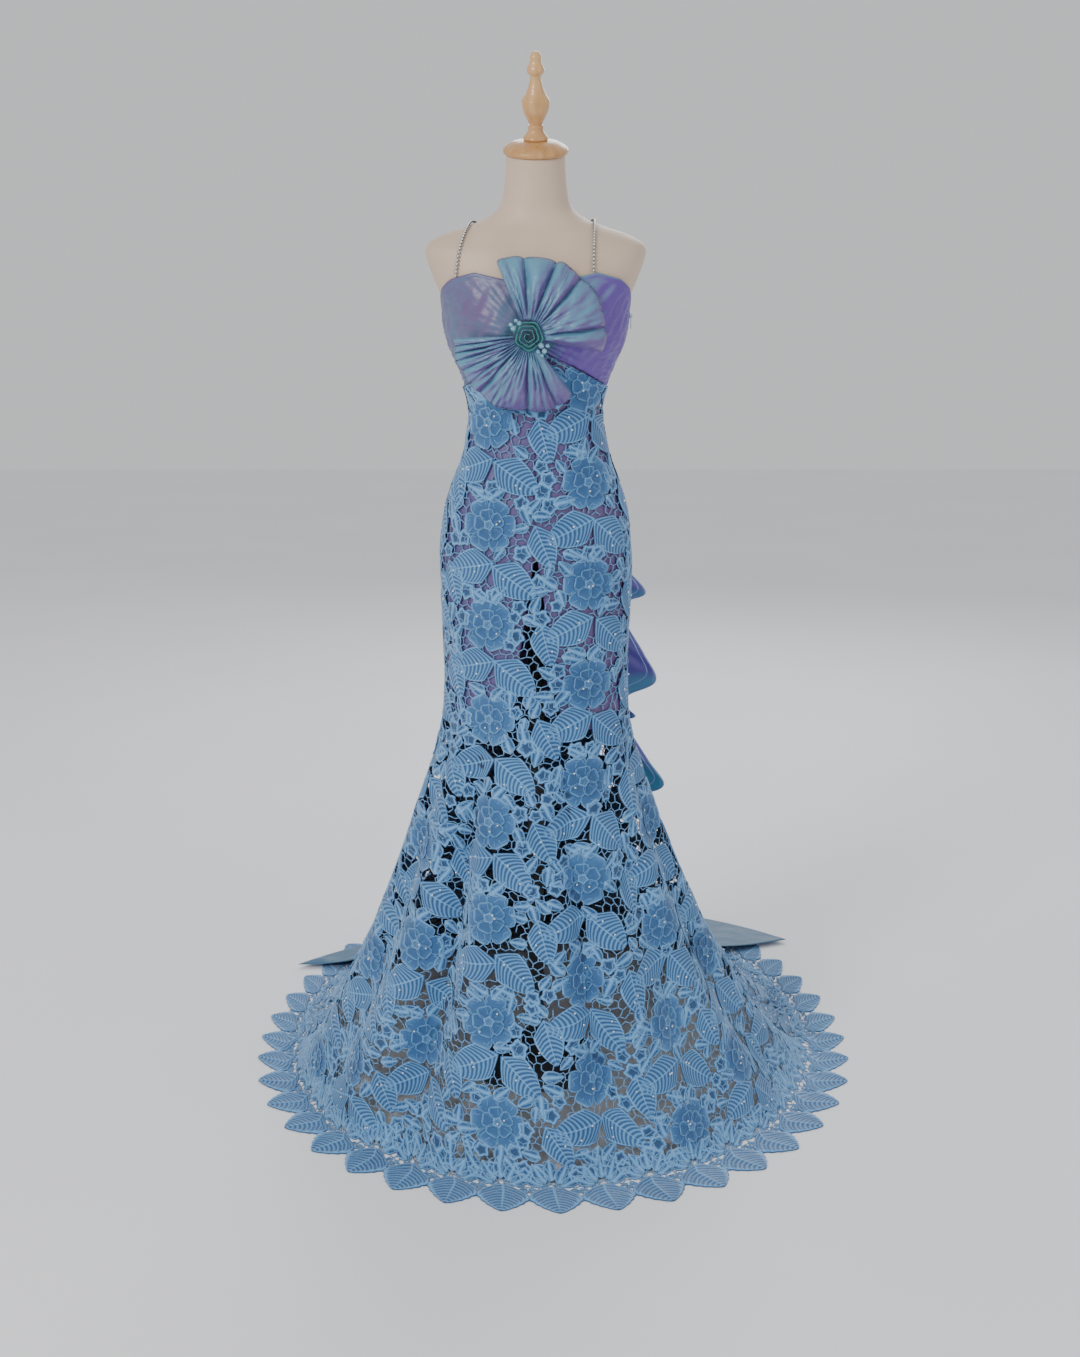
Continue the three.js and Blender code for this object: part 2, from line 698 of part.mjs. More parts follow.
function makeWing(wing) {
  const columns = wing.puffs * WING.columnsPerPuff;
  const net = gridNet(columns, WING.rows, (i, j) => ({ turn: i / columns, reach: j / WING.rows }));
  const geometry = wall(
    net,
    (corner) => wingPoint(wing, corner, TAFFETA_WALL),
    (corner) => wingPoint(wing, corner, 0),
  );
  addPart(wing.name, geometry, TAFFETA);
}

// The rose is one strip rolled into a five-sided spiral.
const ROLL = { turns: 2.4, sides: 10, inner: 4.5, outer: 23.6, depth: 13, rise: 5, wall: 1.6, sunk: 5 };

function makeRose() {
  const columns = Math.round(ROLL.turns * ROLL.sides);
  const back = -FLOWER_DOME.front + ROLL.sunk;
  const net = gridNet(columns, 2, (i, j) => ({ along: i / columns, across: j / 2 }));
  const at = ({ along, across }, distance) => {
    const turn = along * ROLL.turns * 2 * Math.PI;
    const corner = 1 + 0.07 * Math.cos(turn * 5);
    const radius = THREE.MathUtils.lerp(ROLL.inner, ROLL.outer, along) * corner - distance;
    const lean = across * 2.5 * along;
    const high = back - across * (ROLL.depth + ROLL.rise * (1 - along));
    const reach = radius + lean;
    return new THREE.Vector3(FLOWER.x + reach * Math.cos(turn), high, FLOWER.z + reach * Math.sin(turn));
  };
  addPart("flower_rose", wall(net, (c) => at(c, ROLL.wall), (c) => at(c, 0)), ROSE);
}

// A strap runs over the shoulder in an upright plane, from the bodice's front edge to its back.
const STRAP = { width: 7, wall: 3, clearance: 0.3, frontRows: 7, backRows: 9 };
const STRAPS = namedRows(["name", "frontX", "topX", "backX"], [
  ["strap_right", 92, 96, 62], ["strap_left", -128, -104, -62],
]);

// The row number at which the body is as wide as x, which is where a strap crosses the shoulder.
function crossingPlace(x) {
  let low = 2;
  let high = 7;
  for (let step = 0; step < 30; step++) {
    const middle = (low + high) / 2;
    if (surface(middle, Math.PI / 2).x < Math.abs(x)) low = middle;
    else high = middle;
  }
  return high;
}

function angleAtX(place, x) {
  let low = 0;
  let high = Math.PI / 2;
  for (let step = 0; step < 30; step++) {
    const middle = (low + high) / 2;
    if (surface(place, middle).x < Math.abs(x)) low = middle;
    else high = middle;
  }
  return ((low + high) / 2) * Math.sign(x);
}

function strapCorner(strap, row, side) {
  const inFront = row <= STRAP.frontRows;
  const share = inFront ? 1 - row / STRAP.frontRows : (row - STRAP.frontRows) / STRAP.backRows;
  const endX = inFront ? strap.frontX : strap.backX;
  const x = THREE.MathUtils.lerp(strap.topX, endX, share) + (side * STRAP.width) / 2;
  const peak = crossingPlace(x);
  const edgeAngle = angleAtX(placeAtHeight(inFront ? 1402 : 1336), x);
  const edge = bodiceTopEdge(inFront ? edgeAngle : Math.PI - edgeAngle) + 2 * SEAM_GAP;
  const place = THREE.MathUtils.lerp(peak, placeAtHeight(edge), share ** 1.6);
  const angle = share === 0 ? (Math.PI / 2) * Math.sign(x) : angleAtX(place, x);
  return { place, angle: inFront ? angle : Math.PI - angle };
}

function makeStraps() {
  for (const strap of STRAPS) {
    const rows = STRAP.frontRows + STRAP.backRows;
    const net = gridNet(2, rows, (i, j) => strapCorner(strap, j, 1 - i));
    const at = (corner, distance) => offsetPoint(corner.place, corner.angle, distance);
    const inner = STRAP.clearance;
    addPart(strap.name, wall(net, (c) => at(c, inner + STRAP.wall), (c) => at(c, inner)), STONES);
  }
}

// The train lies over the skirt's back and over the lace on the floor. Each row of its two edges is a
// height and the angles of the edges; the outline on the floor is given by angle and reach.
const TRAIN = { inner: 11.5, wall: TAFFETA_WALL, columns: 12, floorRows: 3, waves: 9, waveLift: 0.5 };
const TRAIN_TOP = 1224;
const TRAIN_ROWS = [1185, 1105, 1000, 840, 680, 560, 440, 300, 170, 70, 18];
const TRAIN_EDGES = namedRows(["z", "right", "left"], [
  [1224, 160, 200], [1000, 152, 208], [800, 150, 210], [600, 148, 213], [400, 144, 218],
  [200, 139, 226], [18, 134, 234],
]);
const TRAIN_CENTRE = { x: 30, y: 120 };
const TRAIN_OUTLINE = namedRows(["angle", "reach"], [
  [132, 680], [149.6, 672], [180, 680], [219.9, 575], [238.7, 613],
]);

// A value of a table at a place between its rows, on straight lines.
function tableValue(rows, key, at, column) {
  const rising = rows.at(-1)[key] > rows[0][key];
  const found = rows.findIndex((row) => (rising ? row[key] >= at : row[key] <= at));
  const k = found < 0 ? rows.length - 1 : Math.max(1, found);
  const share = (at - rows[k - 1][key]) / (rows[k][key] - rows[k - 1][key]);
  return THREE.MathUtils.lerp(rows[k - 1][column], rows[k][column], THREE.MathUtils.clamp(share, 0, 1));
}

const trainWave = (angle) =>
  FOLD_RIDGE_LIFT + TRAIN.waveLift * (1 + Math.cos(angle * TRAIN.waves)) / 2;

function trainPoint({ across, row }, distance) {
  const heights = [TRAIN_TOP, ...TRAIN_ROWS];
  const z = heights[Math.min(row, heights.length - 1)];
  const right = tableValue(TRAIN_EDGES, "z", z, "right");
  const left = tableValue(TRAIN_EDGES, "z", z, "left");
  const angle = THREE.MathUtils.lerp(right, left, across) * DEGREE;
  const hanging = offsetPoint(placeAtHeight(z), angle, TRAIN.inner + distance, trainWave);
  if (row < heights.length) return hanging;
  const toEdge = (row - heights.length + 1) / TRAIN.floorRows;
  const first = TRAIN_OUTLINE[0].angle;
  const turn = THREE.MathUtils.lerp(first, TRAIN_OUTLINE.at(-1).angle, across);
  const reach = tableValue(TRAIN_OUTLINE, "angle", turn, "reach");
  const x = TRAIN_CENTRE.x + reach * Math.sin(turn * DEGREE);
  const y = TRAIN_CENTRE.y - reach * Math.cos(turn * DEGREE);
  const floor = TRAIN.inner - LACE_INNER;
  const settle = (1 - toEdge) ** 3;
  return new THREE.Vector3(
    THREE.MathUtils.lerp(hanging.x, x, toEdge),
    THREE.MathUtils.lerp(hanging.y, y, toEdge),
    (hanging.z - floor - distance) * settle + floor + distance,
  );
}

function makeTrain() {
  const rows = TRAIN_ROWS.length + TRAIN.floorRows;
  const net = gridNet(TRAIN.columns, rows, (i, j) => ({ across: i / TRAIN.columns, row: j }));
  addPart("train", wall(net, (c) => trainPoint(c, TRAIN.wall), (c) => trainPoint(c, 0)), TAFFETA);
}

// The cascade of ruffles beside the train: its sewn edge runs down the skirt, and its free edge runs out
// to the point of each tier and back. Each row is a point of the free edge.
const CASCADE = { angle: 139, top: 935, low: 505, offset: 9.0, rowsAcross: 3, columns: 28 };
const CASCADE_EDGE = namedRows(["x", "y", "z"], [
  [150, 112, 905], [195, 125, 854], [163, 142, 832], [160, 114, 800], [192, 108, 745],
  [216, 128, 689], [168, 147, 658], [160, 120, 640], [179, 112, 627], [152, 134, 612],
  [170, 144, 590], [205, 120, 540], [234, 128, 494], [206, 152, 472], [178, 162, 482],
]);

function cascadePoint(along, across) {
  const place = along * (CASCADE_EDGE.length - 1);
  const free = new THREE.Vector3(...["x", "y", "z"].map((axis) => smoothValue(CASCADE_EDGE, axis, place)));
  const z = THREE.MathUtils.lerp(CASCADE.top, CASCADE.low, along);
  const sewn = offsetPoint(placeAtHeight(z), CASCADE.angle * DEGREE, CASCADE.offset);
  return sewn.lerp(free, across);
}

function cascadeOffset({ along, across }, distance) {
  const before = cascadePoint(along - STEP, across);
  const down = cascadePoint(along + STEP, across).sub(before);
  const out = cascadePoint(along, across + STEP).sub(cascadePoint(along, across - STEP));
  return cascadePoint(along, across).addScaledVector(down.cross(out).normalize(), distance);
}

function makeCascade() {
  const { columns, rowsAcross } = CASCADE;
  const net = gridNet(columns, rowsAcross, (i, j) => ({ along: i / columns, across: j / rowsAcross }));
  const half = TAFFETA_WALL / 2;
  const geometry = wall(net, (c) => cascadeOffset(c, -half), (c) => cascadeOffset(c, half));
  addPart("cascade", geometry, TAFFETA);
}

// The slider of the side zip, with its pull tab hanging from the bridge.
const SLIDER = { z: 1343, width: 8, height: 10, plate: 1.6, bridgeWidth: 2.2, bridgeWall: 1 };
const WINDOW = { half: 1.6, height: 2.6 };
const PULL = { axis: 1.3, bar: 0.5, halfWidth: 3.4, holeHalf: 1.5, holeLow: -5, low: -22, endHalf: 2.6 };

const wasm = await Module();
wasm.setup();

function solidOf(geometry) {
  const merged = mergeVertices(withoutShading(geometry), 1e-3);
  const vertProperties = merged.attributes.position.array;
  return new wasm.Manifold(
    new wasm.Mesh({ numProp: 3, vertProperties, triVerts: new Uint32Array(merged.index.array) }),
  );
}

function withoutShading(geometry) {
  geometry.deleteAttribute("normal");
  geometry.deleteAttribute("uv");
  return geometry;
}

function geometryOf(solid) {
  const mesh = solid.getMesh();
  const geometry = new THREE.BufferGeometry();
  geometry.setAttribute("position", new THREE.BufferAttribute(mesh.vertProperties, 3));
  geometry.setIndex(new THREE.BufferAttribute(mesh.triVerts, 1));
  return geometry;
}

function outline(points) {
  return points.map(([a, b]) => new THREE.Vector2(a, b));
}

// The bridge's side view: out from the plate along x, up along y, with the window for the pull's bar.
function bridgeGeometry() {
  const foot = WINDOW.half + SLIDER.bridgeWall;
  const out = WINDOW.height + SLIDER.bridgeWall;
  const shape = new THREE.Shape(outline([
    [-SLIDER.plate / 2, -foot], [out - SLIDER.bridgeWall, -foot], [out, -foot + SLIDER.bridgeWall],
    [out, foot - SLIDER.bridgeWall], [out - SLIDER.bridgeWall, foot], [-SLIDER.plate / 2, foot],
  ]));
  shape.holes.push(new THREE.Path(outline([
    [0, -WINDOW.half], [0, WINDOW.half], [WINDOW.height, WINDOW.half], [WINDOW.height, -WINDOW.half],
  ])));
  const depth = SLIDER.bridgeWidth;
  const geometry = new THREE.ExtrudeGeometry(shape, { depth, bevelEnabled: false });
  return geometry.translate(0, 0, -depth / 2).rotateX(Math.PI / 2);
}

function pullGeometry() {
  const { bar, halfWidth, holeHalf, holeLow, low, endHalf } = PULL;
  const shape = new THREE.Shape(outline([
    [-halfWidth + 1, bar], [halfWidth - 1, bar], [halfWidth, bar - 2], [halfWidth, holeLow - 1],
    [endHalf - 0.6, holeLow - 3], [endHalf, low + 2], [endHalf - 1, low], [-endHalf + 1, low],
    [-endHalf, low + 2], [-endHalf + 0.6, holeLow - 3], [-halfWidth, holeLow - 1],
    [-halfWidth, bar - 2],
  ]));
  shape.holes.push(new THREE.Path(outline([
    [-holeHalf, -bar], [-holeHalf, holeLow], [holeHalf, holeLow], [holeHalf, -bar],
  ])));
  const geometry = new THREE.ExtrudeGeometry(shape, { depth: 2 * bar, bevelEnabled: false });
  return geometry.translate(0, 0, -bar).rotateX(Math.PI / 2).rotateZ(Math.PI / 2);
}

function makeZip() {
  const side = Math.PI / 2;
  const place = placeAtHeight(SLIDER.z);
  const away = FORM_CLEARANCE + TAFFETA_WALL + SEAM_GAP + SLIDER.plate;
  const slope = alongLevel(place, side);
  const seat = new THREE.Group();
  seat.position.copy(offsetPoint(place, side, away));
  seat.rotation.y = Math.atan2(-slope.x, -slope.z);
  const plate = new THREE.BoxGeometry(SLIDER.plate, SLIDER.width, SLIDER.height);
  plate.translate(-SLIDER.plate / 2, 0, 0);
  const body = solidOf(plate).add(solidOf(bridgeGeometry()));
  const slider = addPart("zip_slider", geometryOf(body), STEEL);
  const pull = addPart("zip_pull", withoutShading(pullGeometry()), STEEL);
  pull.position.x = PULL.axis;
  pull.rotation.y = -seat.rotation.y;
  seat.add(slider, pull);
  parts.add(seat);
}

makeStand();
makeForm();
makeNeckTrim();
makeBodice();
makeSlip();
makeLace();
WINGS.forEach(makeWing);
makeRose();
makeStraps();
makeTrain();
makeCascade();
makeZip();

export default parts;
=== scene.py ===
"""A mermaid gown of guipure lace, with a bodice, slip, flower, cascade and train of shot taffeta.

The gown is worn by a limbless dress form on a stand. Sizes in the tables are millimetres, and every mesh
is scaled to metres when it is made. Place means a row of the LEVELS table, which may be a fraction, and
angle is measured round the body from the front towards +X.
"""

import logging
import math
from dataclasses import dataclass
from enum import Enum
from typing import Callable, Iterable, Sequence

import bmesh
import bpy
import numpy as np
from mathutils import Euler, Matrix, Vector

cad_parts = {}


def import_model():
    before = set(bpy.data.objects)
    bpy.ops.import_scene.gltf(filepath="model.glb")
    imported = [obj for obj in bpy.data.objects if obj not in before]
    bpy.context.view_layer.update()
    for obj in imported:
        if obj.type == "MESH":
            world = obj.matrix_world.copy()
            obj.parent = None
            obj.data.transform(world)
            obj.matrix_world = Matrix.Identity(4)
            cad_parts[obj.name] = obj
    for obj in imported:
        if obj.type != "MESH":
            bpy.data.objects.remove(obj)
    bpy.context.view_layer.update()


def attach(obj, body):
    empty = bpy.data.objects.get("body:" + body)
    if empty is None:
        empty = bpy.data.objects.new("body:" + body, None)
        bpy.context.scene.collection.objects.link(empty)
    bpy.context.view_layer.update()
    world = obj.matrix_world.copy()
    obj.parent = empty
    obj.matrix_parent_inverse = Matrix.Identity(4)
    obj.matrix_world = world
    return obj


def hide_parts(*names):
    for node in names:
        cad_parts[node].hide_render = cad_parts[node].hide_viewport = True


LOG = logging.getLogger("gown")
MM = 0.001
DEG = math.pi / 180
GOWN = "gown"

# Height, half width, depth to the front, depth to the back, shift in x and y, squareness, tip, folds
LEVELS = [
    (1600, 50, 50, 50, 0, -12, 2, 0.25, 0), (1560, 52, 52, 52, 0, -7, 2, 0.18, 0),
    (1522, 59, 57, 58, 0, 0, 2, 0.1, 0), (1502, 80, 62, 68, 0, 5, 2, 0, 0),
    (1489, 112, 68, 76, 0, 8, 2.1, 0, 0), (1476, 150, 76, 84, 0, 8, 2.3, 0, 0),
    (1463, 175, 84, 90, 0, 8, 2.5, 0, 0), (1449, 183, 92, 95, 0, 6, 2.6, 0, 0),
    (1430, 180, 98, 99, 0, 4, 2.5, 0, 0), (1400, 169, 104, 103, 0, 2, 2.3, 0, 0),
    (1365, 155, 107, 104, 0, 0, 2.15, 0, 0), (1330, 151, 106, 101, 0, 0, 2.05, 0, 0),
    (1300, 145, 102, 97, 0, 0, 2, 0, 0), (1270, 132, 97, 91, 0, 0, 2, 0, 0),
    (1240, 119, 91, 85, 0, 0, 2, 0, 0), (1210, 109, 87, 80, 0, 0, 2, 0, 0),
    (1185, 106, 85, 79, 0, 0, 2, 0, 0), (1150, 110, 87, 83, 0, 0, 2, 0, 0),
    (1105, 120, 92, 93, 0, 0, 2, 0, 0), (1070, 133, 97, 103, 0, 0, 2, 0, 0),
    (1035, 145, 102, 113, 0, 0, 2, 0, 0), (1000, 152, 106, 120, 0, 0, 2, 0, 0),
    (950, 157, 109, 123, 0, 0, 2, 0, 0), (900, 157, 110, 122, 0, 0, 2, 0, 0),
    (840, 155, 111, 119, 0, 0, 2, 0, 0), (775, 153, 113, 118, 0, 0, 2, 0, 0),
    (705, 153, 118, 121, 0, 0, 2, 0, 1), (650, 159, 128, 132, 0, 0, 2, 0, 4),
    (600, 171, 143, 148, 0, 0, 2, 0, 8), (545, 189, 163, 170, 0, 0, 2, 0, 12),
    (480, 211, 188, 200, 0, 2, 2, 0, 17), (410, 236, 215, 232, 2, 5, 2, 0, 22),
    (335, 266, 247, 272, 4, 9, 2, 0, 27), (260, 298, 285, 322, 6, 16, 2, 0, 31),
    (185, 336, 330, 384, 9, 28, 2, 0, 33), (115, 374, 380, 452, 13, 46, 2, 0, 32),
    (58, 410, 436, 520, 18, 66, 2, 0, 27), (18, 440, 492, 580, 22, 84, 2, 0, 18),
    (-4, 468, 542, 636, 26, 102, 2, 0, 8), (-4, 498, 588, 690, 30, 120, 2, 0, 0),
]
LOWEST_SOLVED = 37

# The skirt's valleys: angle, spread in degrees, depth
FOLDS = [
    (-150, 11, 1.1), (-122, 10, 0.9), (-94, 9, 0.8), (-64, 8, 0.8), (-34, 8, 1.6), (-9, 7, 0.3),
    (16, 5.5, 0.9), (43, 8, 0.55), (68, 8, 0.75), (96, 9, 0.9), (124, 10, 1), (152, 11, 1.1),
    (180, 10, 0.7),
]
RIDGE_LIFT = 0.28
BUST = {"x": 71, "z": 1318, "reach_x": 47, "reach_up": 56, "reach_down": 37, "height": 29}
TOP_EDGE = [(0, 1388), (14, 1402), (30, 1413), (50, 1403), (66, 1388), (90, 1356), (130, 1340), (180, 1334)]
SIDE_LOW = 1230
CENTRE_RISE = 67
FLOWER_X, FLOWER_Z = -12.0, 1315.0

Points = np.ndarray
Wave = Callable[[np.ndarray], np.ndarray]


def bell(distance: np.ndarray, reach: float) -> np.ndarray:
    """A smooth bump of height 1 that fades past the reach."""
    return np.exp(-((distance / reach) ** 2))


def smoothstep(low: float, high: float, value: np.ndarray) -> np.ndarray:
    """0 below low, 1 above high, and smooth between."""
    t = np.clip((value - low) / (high - low), 0, 1)
    return t * t * (3 - 2 * t)


def cubic(p: Sequence[np.ndarray], t: np.ndarray) -> np.ndarray:
    """The Catmull-Rom value between the second and third of four values."""
    bend = 2 * p[0] - 5 * p[1] + 4 * p[2] - p[3]
    turn = 3 * p[1] - p[0] - 3 * p[2] + p[3]
    return 0.5 * (2 * p[1] + (p[2] - p[0]) * t + bend * t * t + turn * t * t * t)


def along_rows(rows: np.ndarray, place: np.ndarray) -> np.ndarray:
    """Smooth values of a table at places between its rows.

    Args:
        rows: the table, a row per place.
        place: where to read it, in rows.

    Returns:
        An array with a row of values for each place.
    """
    last = len(rows) - 1
    k = np.clip(np.floor(place).astype(int), 0, last - 1)
    near = [rows[np.clip(k + step, 0, last)] for step in (-1, 0, 1, 2)]
    return cubic(near, (place - k)[:, None])


def skirt_folds(angle: np.ndarray) -> np.ndarray:
    """How far the folds move the skirt in or out at an angle, before their depth.

    Args:
        angle: radians round the body.

    Returns:
        The move at each angle.
    """
    wave = np.full(angle.shape, RIDGE_LIFT)
    for degrees, spread, depth in FOLDS:
        away = np.angle(np.exp(1j * (angle - degrees * DEG)))
        wave -= depth * bell(away, spread * DEG)
    return wave


def ripple(u: np.ndarray, v: np.ndarray, seed: int, octaves: int = 5) -> np.ndarray:
    """Soft uneven waves between about -1 and 1, the same for the same seed.

    Args:
        u: the first share.
        v: the second share.
        seed: picks the waves.
        octaves: how many are added.

    Returns:
        The height at each place.
    """
    rng = np.random.default_rng(seed)
    total = np.zeros(np.broadcast(u, v).shape)
    for _ in range(octaves):
        fu, fv, phase = rng.uniform(0.6, 2.6), rng.uniform(-1.6, 1.6), rng.uniform(0, 7)
        total += np.sin(math.tau * (fu * u + fv * v) + phase)
    return total / octaves * 1.6


class Figure:
    """The surface that every cloth of the gown follows."""

    STEP = 0.02

    def __init__(self) -> None:
        """Reads the levels and makes the list that finds a place from a height."""
        self.rows = np.array(LEVELS, dtype=float)
        self.last = float(len(LEVELS) - 1)
        self.places = np.linspace(0, LOWEST_SOLVED, 3701)
        self.heights = along_rows(self.rows, self.places)[:, 0]

    def place_at(self, z: np.ndarray) -> np.ndarray:
        """The places at which the body has the heights z."""
        return np.interp(-np.asarray(z, dtype=float), -self.heights, self.places)

    def point(self, place: np.ndarray, angle: np.ndarray, wave: Wave = skirt_folds) -> Points:
        """Points of the surface, a row for each place and angle.

        Args:
            place: rows of LEVELS.
            angle: radians round the body.
            wave: gives the folds' reach at an angle.

        Returns:
            The points in millimetres.
        """
        place, angle = np.broadcast_arrays(np.asarray(place, float), np.asarray(angle, float))
        level = along_rows(self.rows, place.ravel())
        z, half, front, back, shift_x, shift_y, square, tip, fold = level.T
        sine, cosine = np.sin(angle.ravel()), np.cos(angle.ravel())
        out = fold * wave(angle.ravel())
        power = 2 / square
        x = shift_x + (half + out) * np.sign(sine) * np.abs(sine) ** power
        depth = np.where(cosine > 0, front, back) + out
        y = shift_y - depth * np.sign(cosine) * np.abs(cosine) ** power
        reach = np.where(z > BUST["z"], BUST["reach_up"], BUST["reach_down"])
        bust = BUST["height"] * bell(np.abs(x) - BUST["x"], BUST["reach_x"]) * bell(z - BUST["z"], reach)
        y = y - bust * np.sqrt(np.clip(cosine, 0, 1))
        return np.stack([x, y, z + tip * (y - shift_y)], axis=1)

    def offset(self, place: np.ndarray, angle: np.ndarray, distance: np.ndarray,
               wave: Wave = skirt_folds) -> Points:
        """Points moved out from the surface along its normal.

        Args:
            place: rows of LEVELS.
            angle: radians round the body.
            distance: how far out.
            wave: gives the folds' reach at an angle.

        Returns:
            The moved points.
        """
        place, angle = np.broadcast_arrays(np.asarray(place, float), np.asarray(angle, float))
        place, angle = place.ravel(), angle.ravel()
        low, high = np.maximum(place - self.STEP, 0), np.minimum(place + self.STEP, self.last)
        down = self.point(high, angle, wave) - self.point(low, angle, wave)
        round_it = self.point(place, angle + self.STEP, wave) - self.point(place, angle - self.STEP, wave)
        normal = np.cross(down, round_it)
        normal /= np.linalg.norm(normal, axis=1)[:, None] + 1e-12
        moved = np.broadcast_to(np.asarray(distance, float), place.shape)
        return self.point(place, angle, wave) + normal * moved[:, None]

    def low_edge(self, angle: np.ndarray) -> np.ndarray:
        """Height of the bodice's lower edge, where the lace begins."""
        rise = CENTRE_RISE * (1 - np.abs(np.sin(angle)))
        return SIDE_LOW + np.where(np.cos(angle) > 0, rise, 0)

    def top_edge(self, angle: np.ndarray) -> np.ndarray:
        """Height of the bodice's top edge."""
        degrees = np.abs(np.angle(np.exp(1j * angle))) / DEG
        angles, heights = zip(*TOP_EDGE)
        return np.interp(degrees, angles, heights)

    def front(self, x: np.ndarray, z: np.ndarray) -> np.ndarray:
        """The y of the body's front at places seen from the front.

        Args:
            x: across, in millimetres.
            z: height, in millimetres.

        Returns:
            The y of each place.
        """
        place = self.place_at(z)
        low, high = np.full(x.shape, -math.pi / 2), np.full(x.shape, math.pi / 2)
        for _ in range(24):
            middle = (low + high) / 2
            left = self.point(place, middle)[:, 0] < x
            low, high = np.where(left, middle, low), np.where(left, high, middle)
        return self.point(place, (low + high) / 2)[:, 1]


FIGURE = Figure()


# Finishes

class Graph:
    """A material's node tree, with short ways to add and join nodes."""

    def __init__(self, name: str) -> None:
        """Starts a material with a Principled BSDF alone.

        Args:
            name: the material's name.
        """
        self.material = bpy.data.materials.new(name)
        self.material.use_nodes = True
        self.tree = self.material.node_tree
        self.shader = self.tree.nodes["Principled BSDF"]

    def add(self, kind: str, settings: dict | None = None, **inputs: object) -> bpy.types.Node:
        """Adds a node.

        Args:
            kind: the node's type without its ShaderNode prefix.
            settings: the node's own properties.
            inputs: values or sockets for its inputs, with _ for a space.

        Returns:
            The new node.
        """
        node = self.tree.nodes.new("ShaderNode" + kind)
        for key, value in (settings or {}).items():
            setattr(node, key, value)
        for key, value in inputs.items():
            self.put(node, key.replace("_", " "), value)
        return node

    def put(self, node: bpy.types.Node, key: str | int, value: object) -> None:
        """Sets an input to a value, or links a socket to it.

        Args:
            node: the node.
            key: the input's name or number.
            value: a value or a socket.
        """
        if isinstance(value, bpy.types.NodeSocket):
            self.tree.links.new(value, node.inputs[key])
        else:
            node.inputs[key].default_value = value

    def principled(self, **inputs: object) -> None:
        """Sets or links inputs of the material's shader."""
        for key, value in inputs.items():
            self.put(self.shader, key.replace("_", " "), value)

    def ramp(self, factor: bpy.types.NodeSocket,
             stops: Sequence[tuple[float, tuple]]) -> bpy.types.NodeSocket:
        """A colour ramp through the given stops, and its colour.

        Args:
            factor: runs along the ramp.
            stops: positions and colours.

        Returns:
            The colour's socket.
        """
        node = self.add("ValToRGB", Fac=factor)
        elements = node.color_ramp.elements
        while len(elements) < len(stops):
            elements.new(0.5)
        for element, (position, colour) in zip(elements, stops):
            element.position, element.color = position, (*colour, 1)
        return node.outputs["Color"]

    def maths(self, operation: str, first: object, second: object = 0.0) -> bpy.types.NodeSocket:
        """The result of a Math node.

        Args:
            operation: the node's operation.
            first: a value or a socket.
            second: a value or a socket.

        Returns:
            The result's socket.
        """
        node = self.add("Math", {"operation": operation})
        self.put(node, 0, first)
        self.put(node, 1, second)
        return node.outputs[0]

    def mix(self, factor: object, first: object, second: object) -> bpy.types.NodeSocket:
        """The colour between two colours.

        Args:
            factor: share of the second.
            first: a colour or a socket.
            second: a colour or a socket.

        Returns:
            The colour's socket.
        """
        node = self.add("Mix", {"data_type": "RGBA"})
        self.put(node, 0, factor)
        self.put(node, 6, first)
        self.put(node, 7, second)
        return node.outputs[2]

    def bump(self, height: bpy.types.NodeSocket, strength: float, distance: float) -> None:
        """Gives the shader a bump from a height."""
        node = self.add("Bump", Height=height, Strength=strength, Distance=distance)
        self.principled(Normal=node.outputs["Normal"])


def rgb(red: int, green: int, blue: int) -> tuple[float, float, float]:
    """A linear colour from one that is given in 0 to 255."""
    return tuple(((c / 255 + 0.055) / 1.055) ** 2.4 if c > 10 else c / 3295 for c in (red, green, blue))


@dataclass(frozen=True)
class LaceFinish:
    """Matt guipure: raised cords of twisted thread, with a painted highlight on their tops and painted shade
    in the hollows.
    """

    slot: str = "lace"
    # low is the painted shade in the hollows, middle the tone between, and high the painted highlight on the
    # cords' tops
    low: tuple = rgb(12, 36, 70)
    middle: tuple = rgb(50, 104, 158)
    high: tuple = rgb(120, 178, 228)

    def material(self) -> bpy.types.Material:
        """Builds the lace's material; it reads the mesh's relief and flat layout, and paints shade and
        highlight from the relief.

        Returns:
            The new material.
        """
        g = Graph("lace_thread")
        relief = g.add("Attribute", {"attribute_name": "relief"})
        flat = g.add("UVMap", {"uv_map": "flat"})
        thread = g.add("TexWave", {"wave_type": "BANDS", "bands_direction": "DIAGONAL"},
                       Vector=flat.outputs[0], Scale=520.0, Distortion=2.5, Detail=1.0)
        patch = g.add("TexNoise", Vector=flat.outputs[0], Scale=9.0, Detail=3.0)
        tone = g.maths("ADD", relief.outputs["Fac"], g.maths("MULTIPLY", thread.outputs["Fac"], 0.16))
        tone = g.maths("ADD", tone, g.maths("MULTIPLY", patch.outputs["Fac"], 0.3))
        tone = g.maths("SUBTRACT", tone, 0.2)
        # The relief paints shade into the hollows and a highlight on the tops of the cords; the thread's
        # bands and the uneven patches are the lace's own tone.
        g.principled(Base_Color=g.ramp(tone, [(0.08, self.low), (0.5, self.middle), (1.0, self.high)]))
        g.principled(Roughness=0.62, Sheen_Weight=0.35, Sheen_Roughness=0.4)
        g.bump(thread.outputs["Fac"], 0.5, 0.0004)
        return g.material


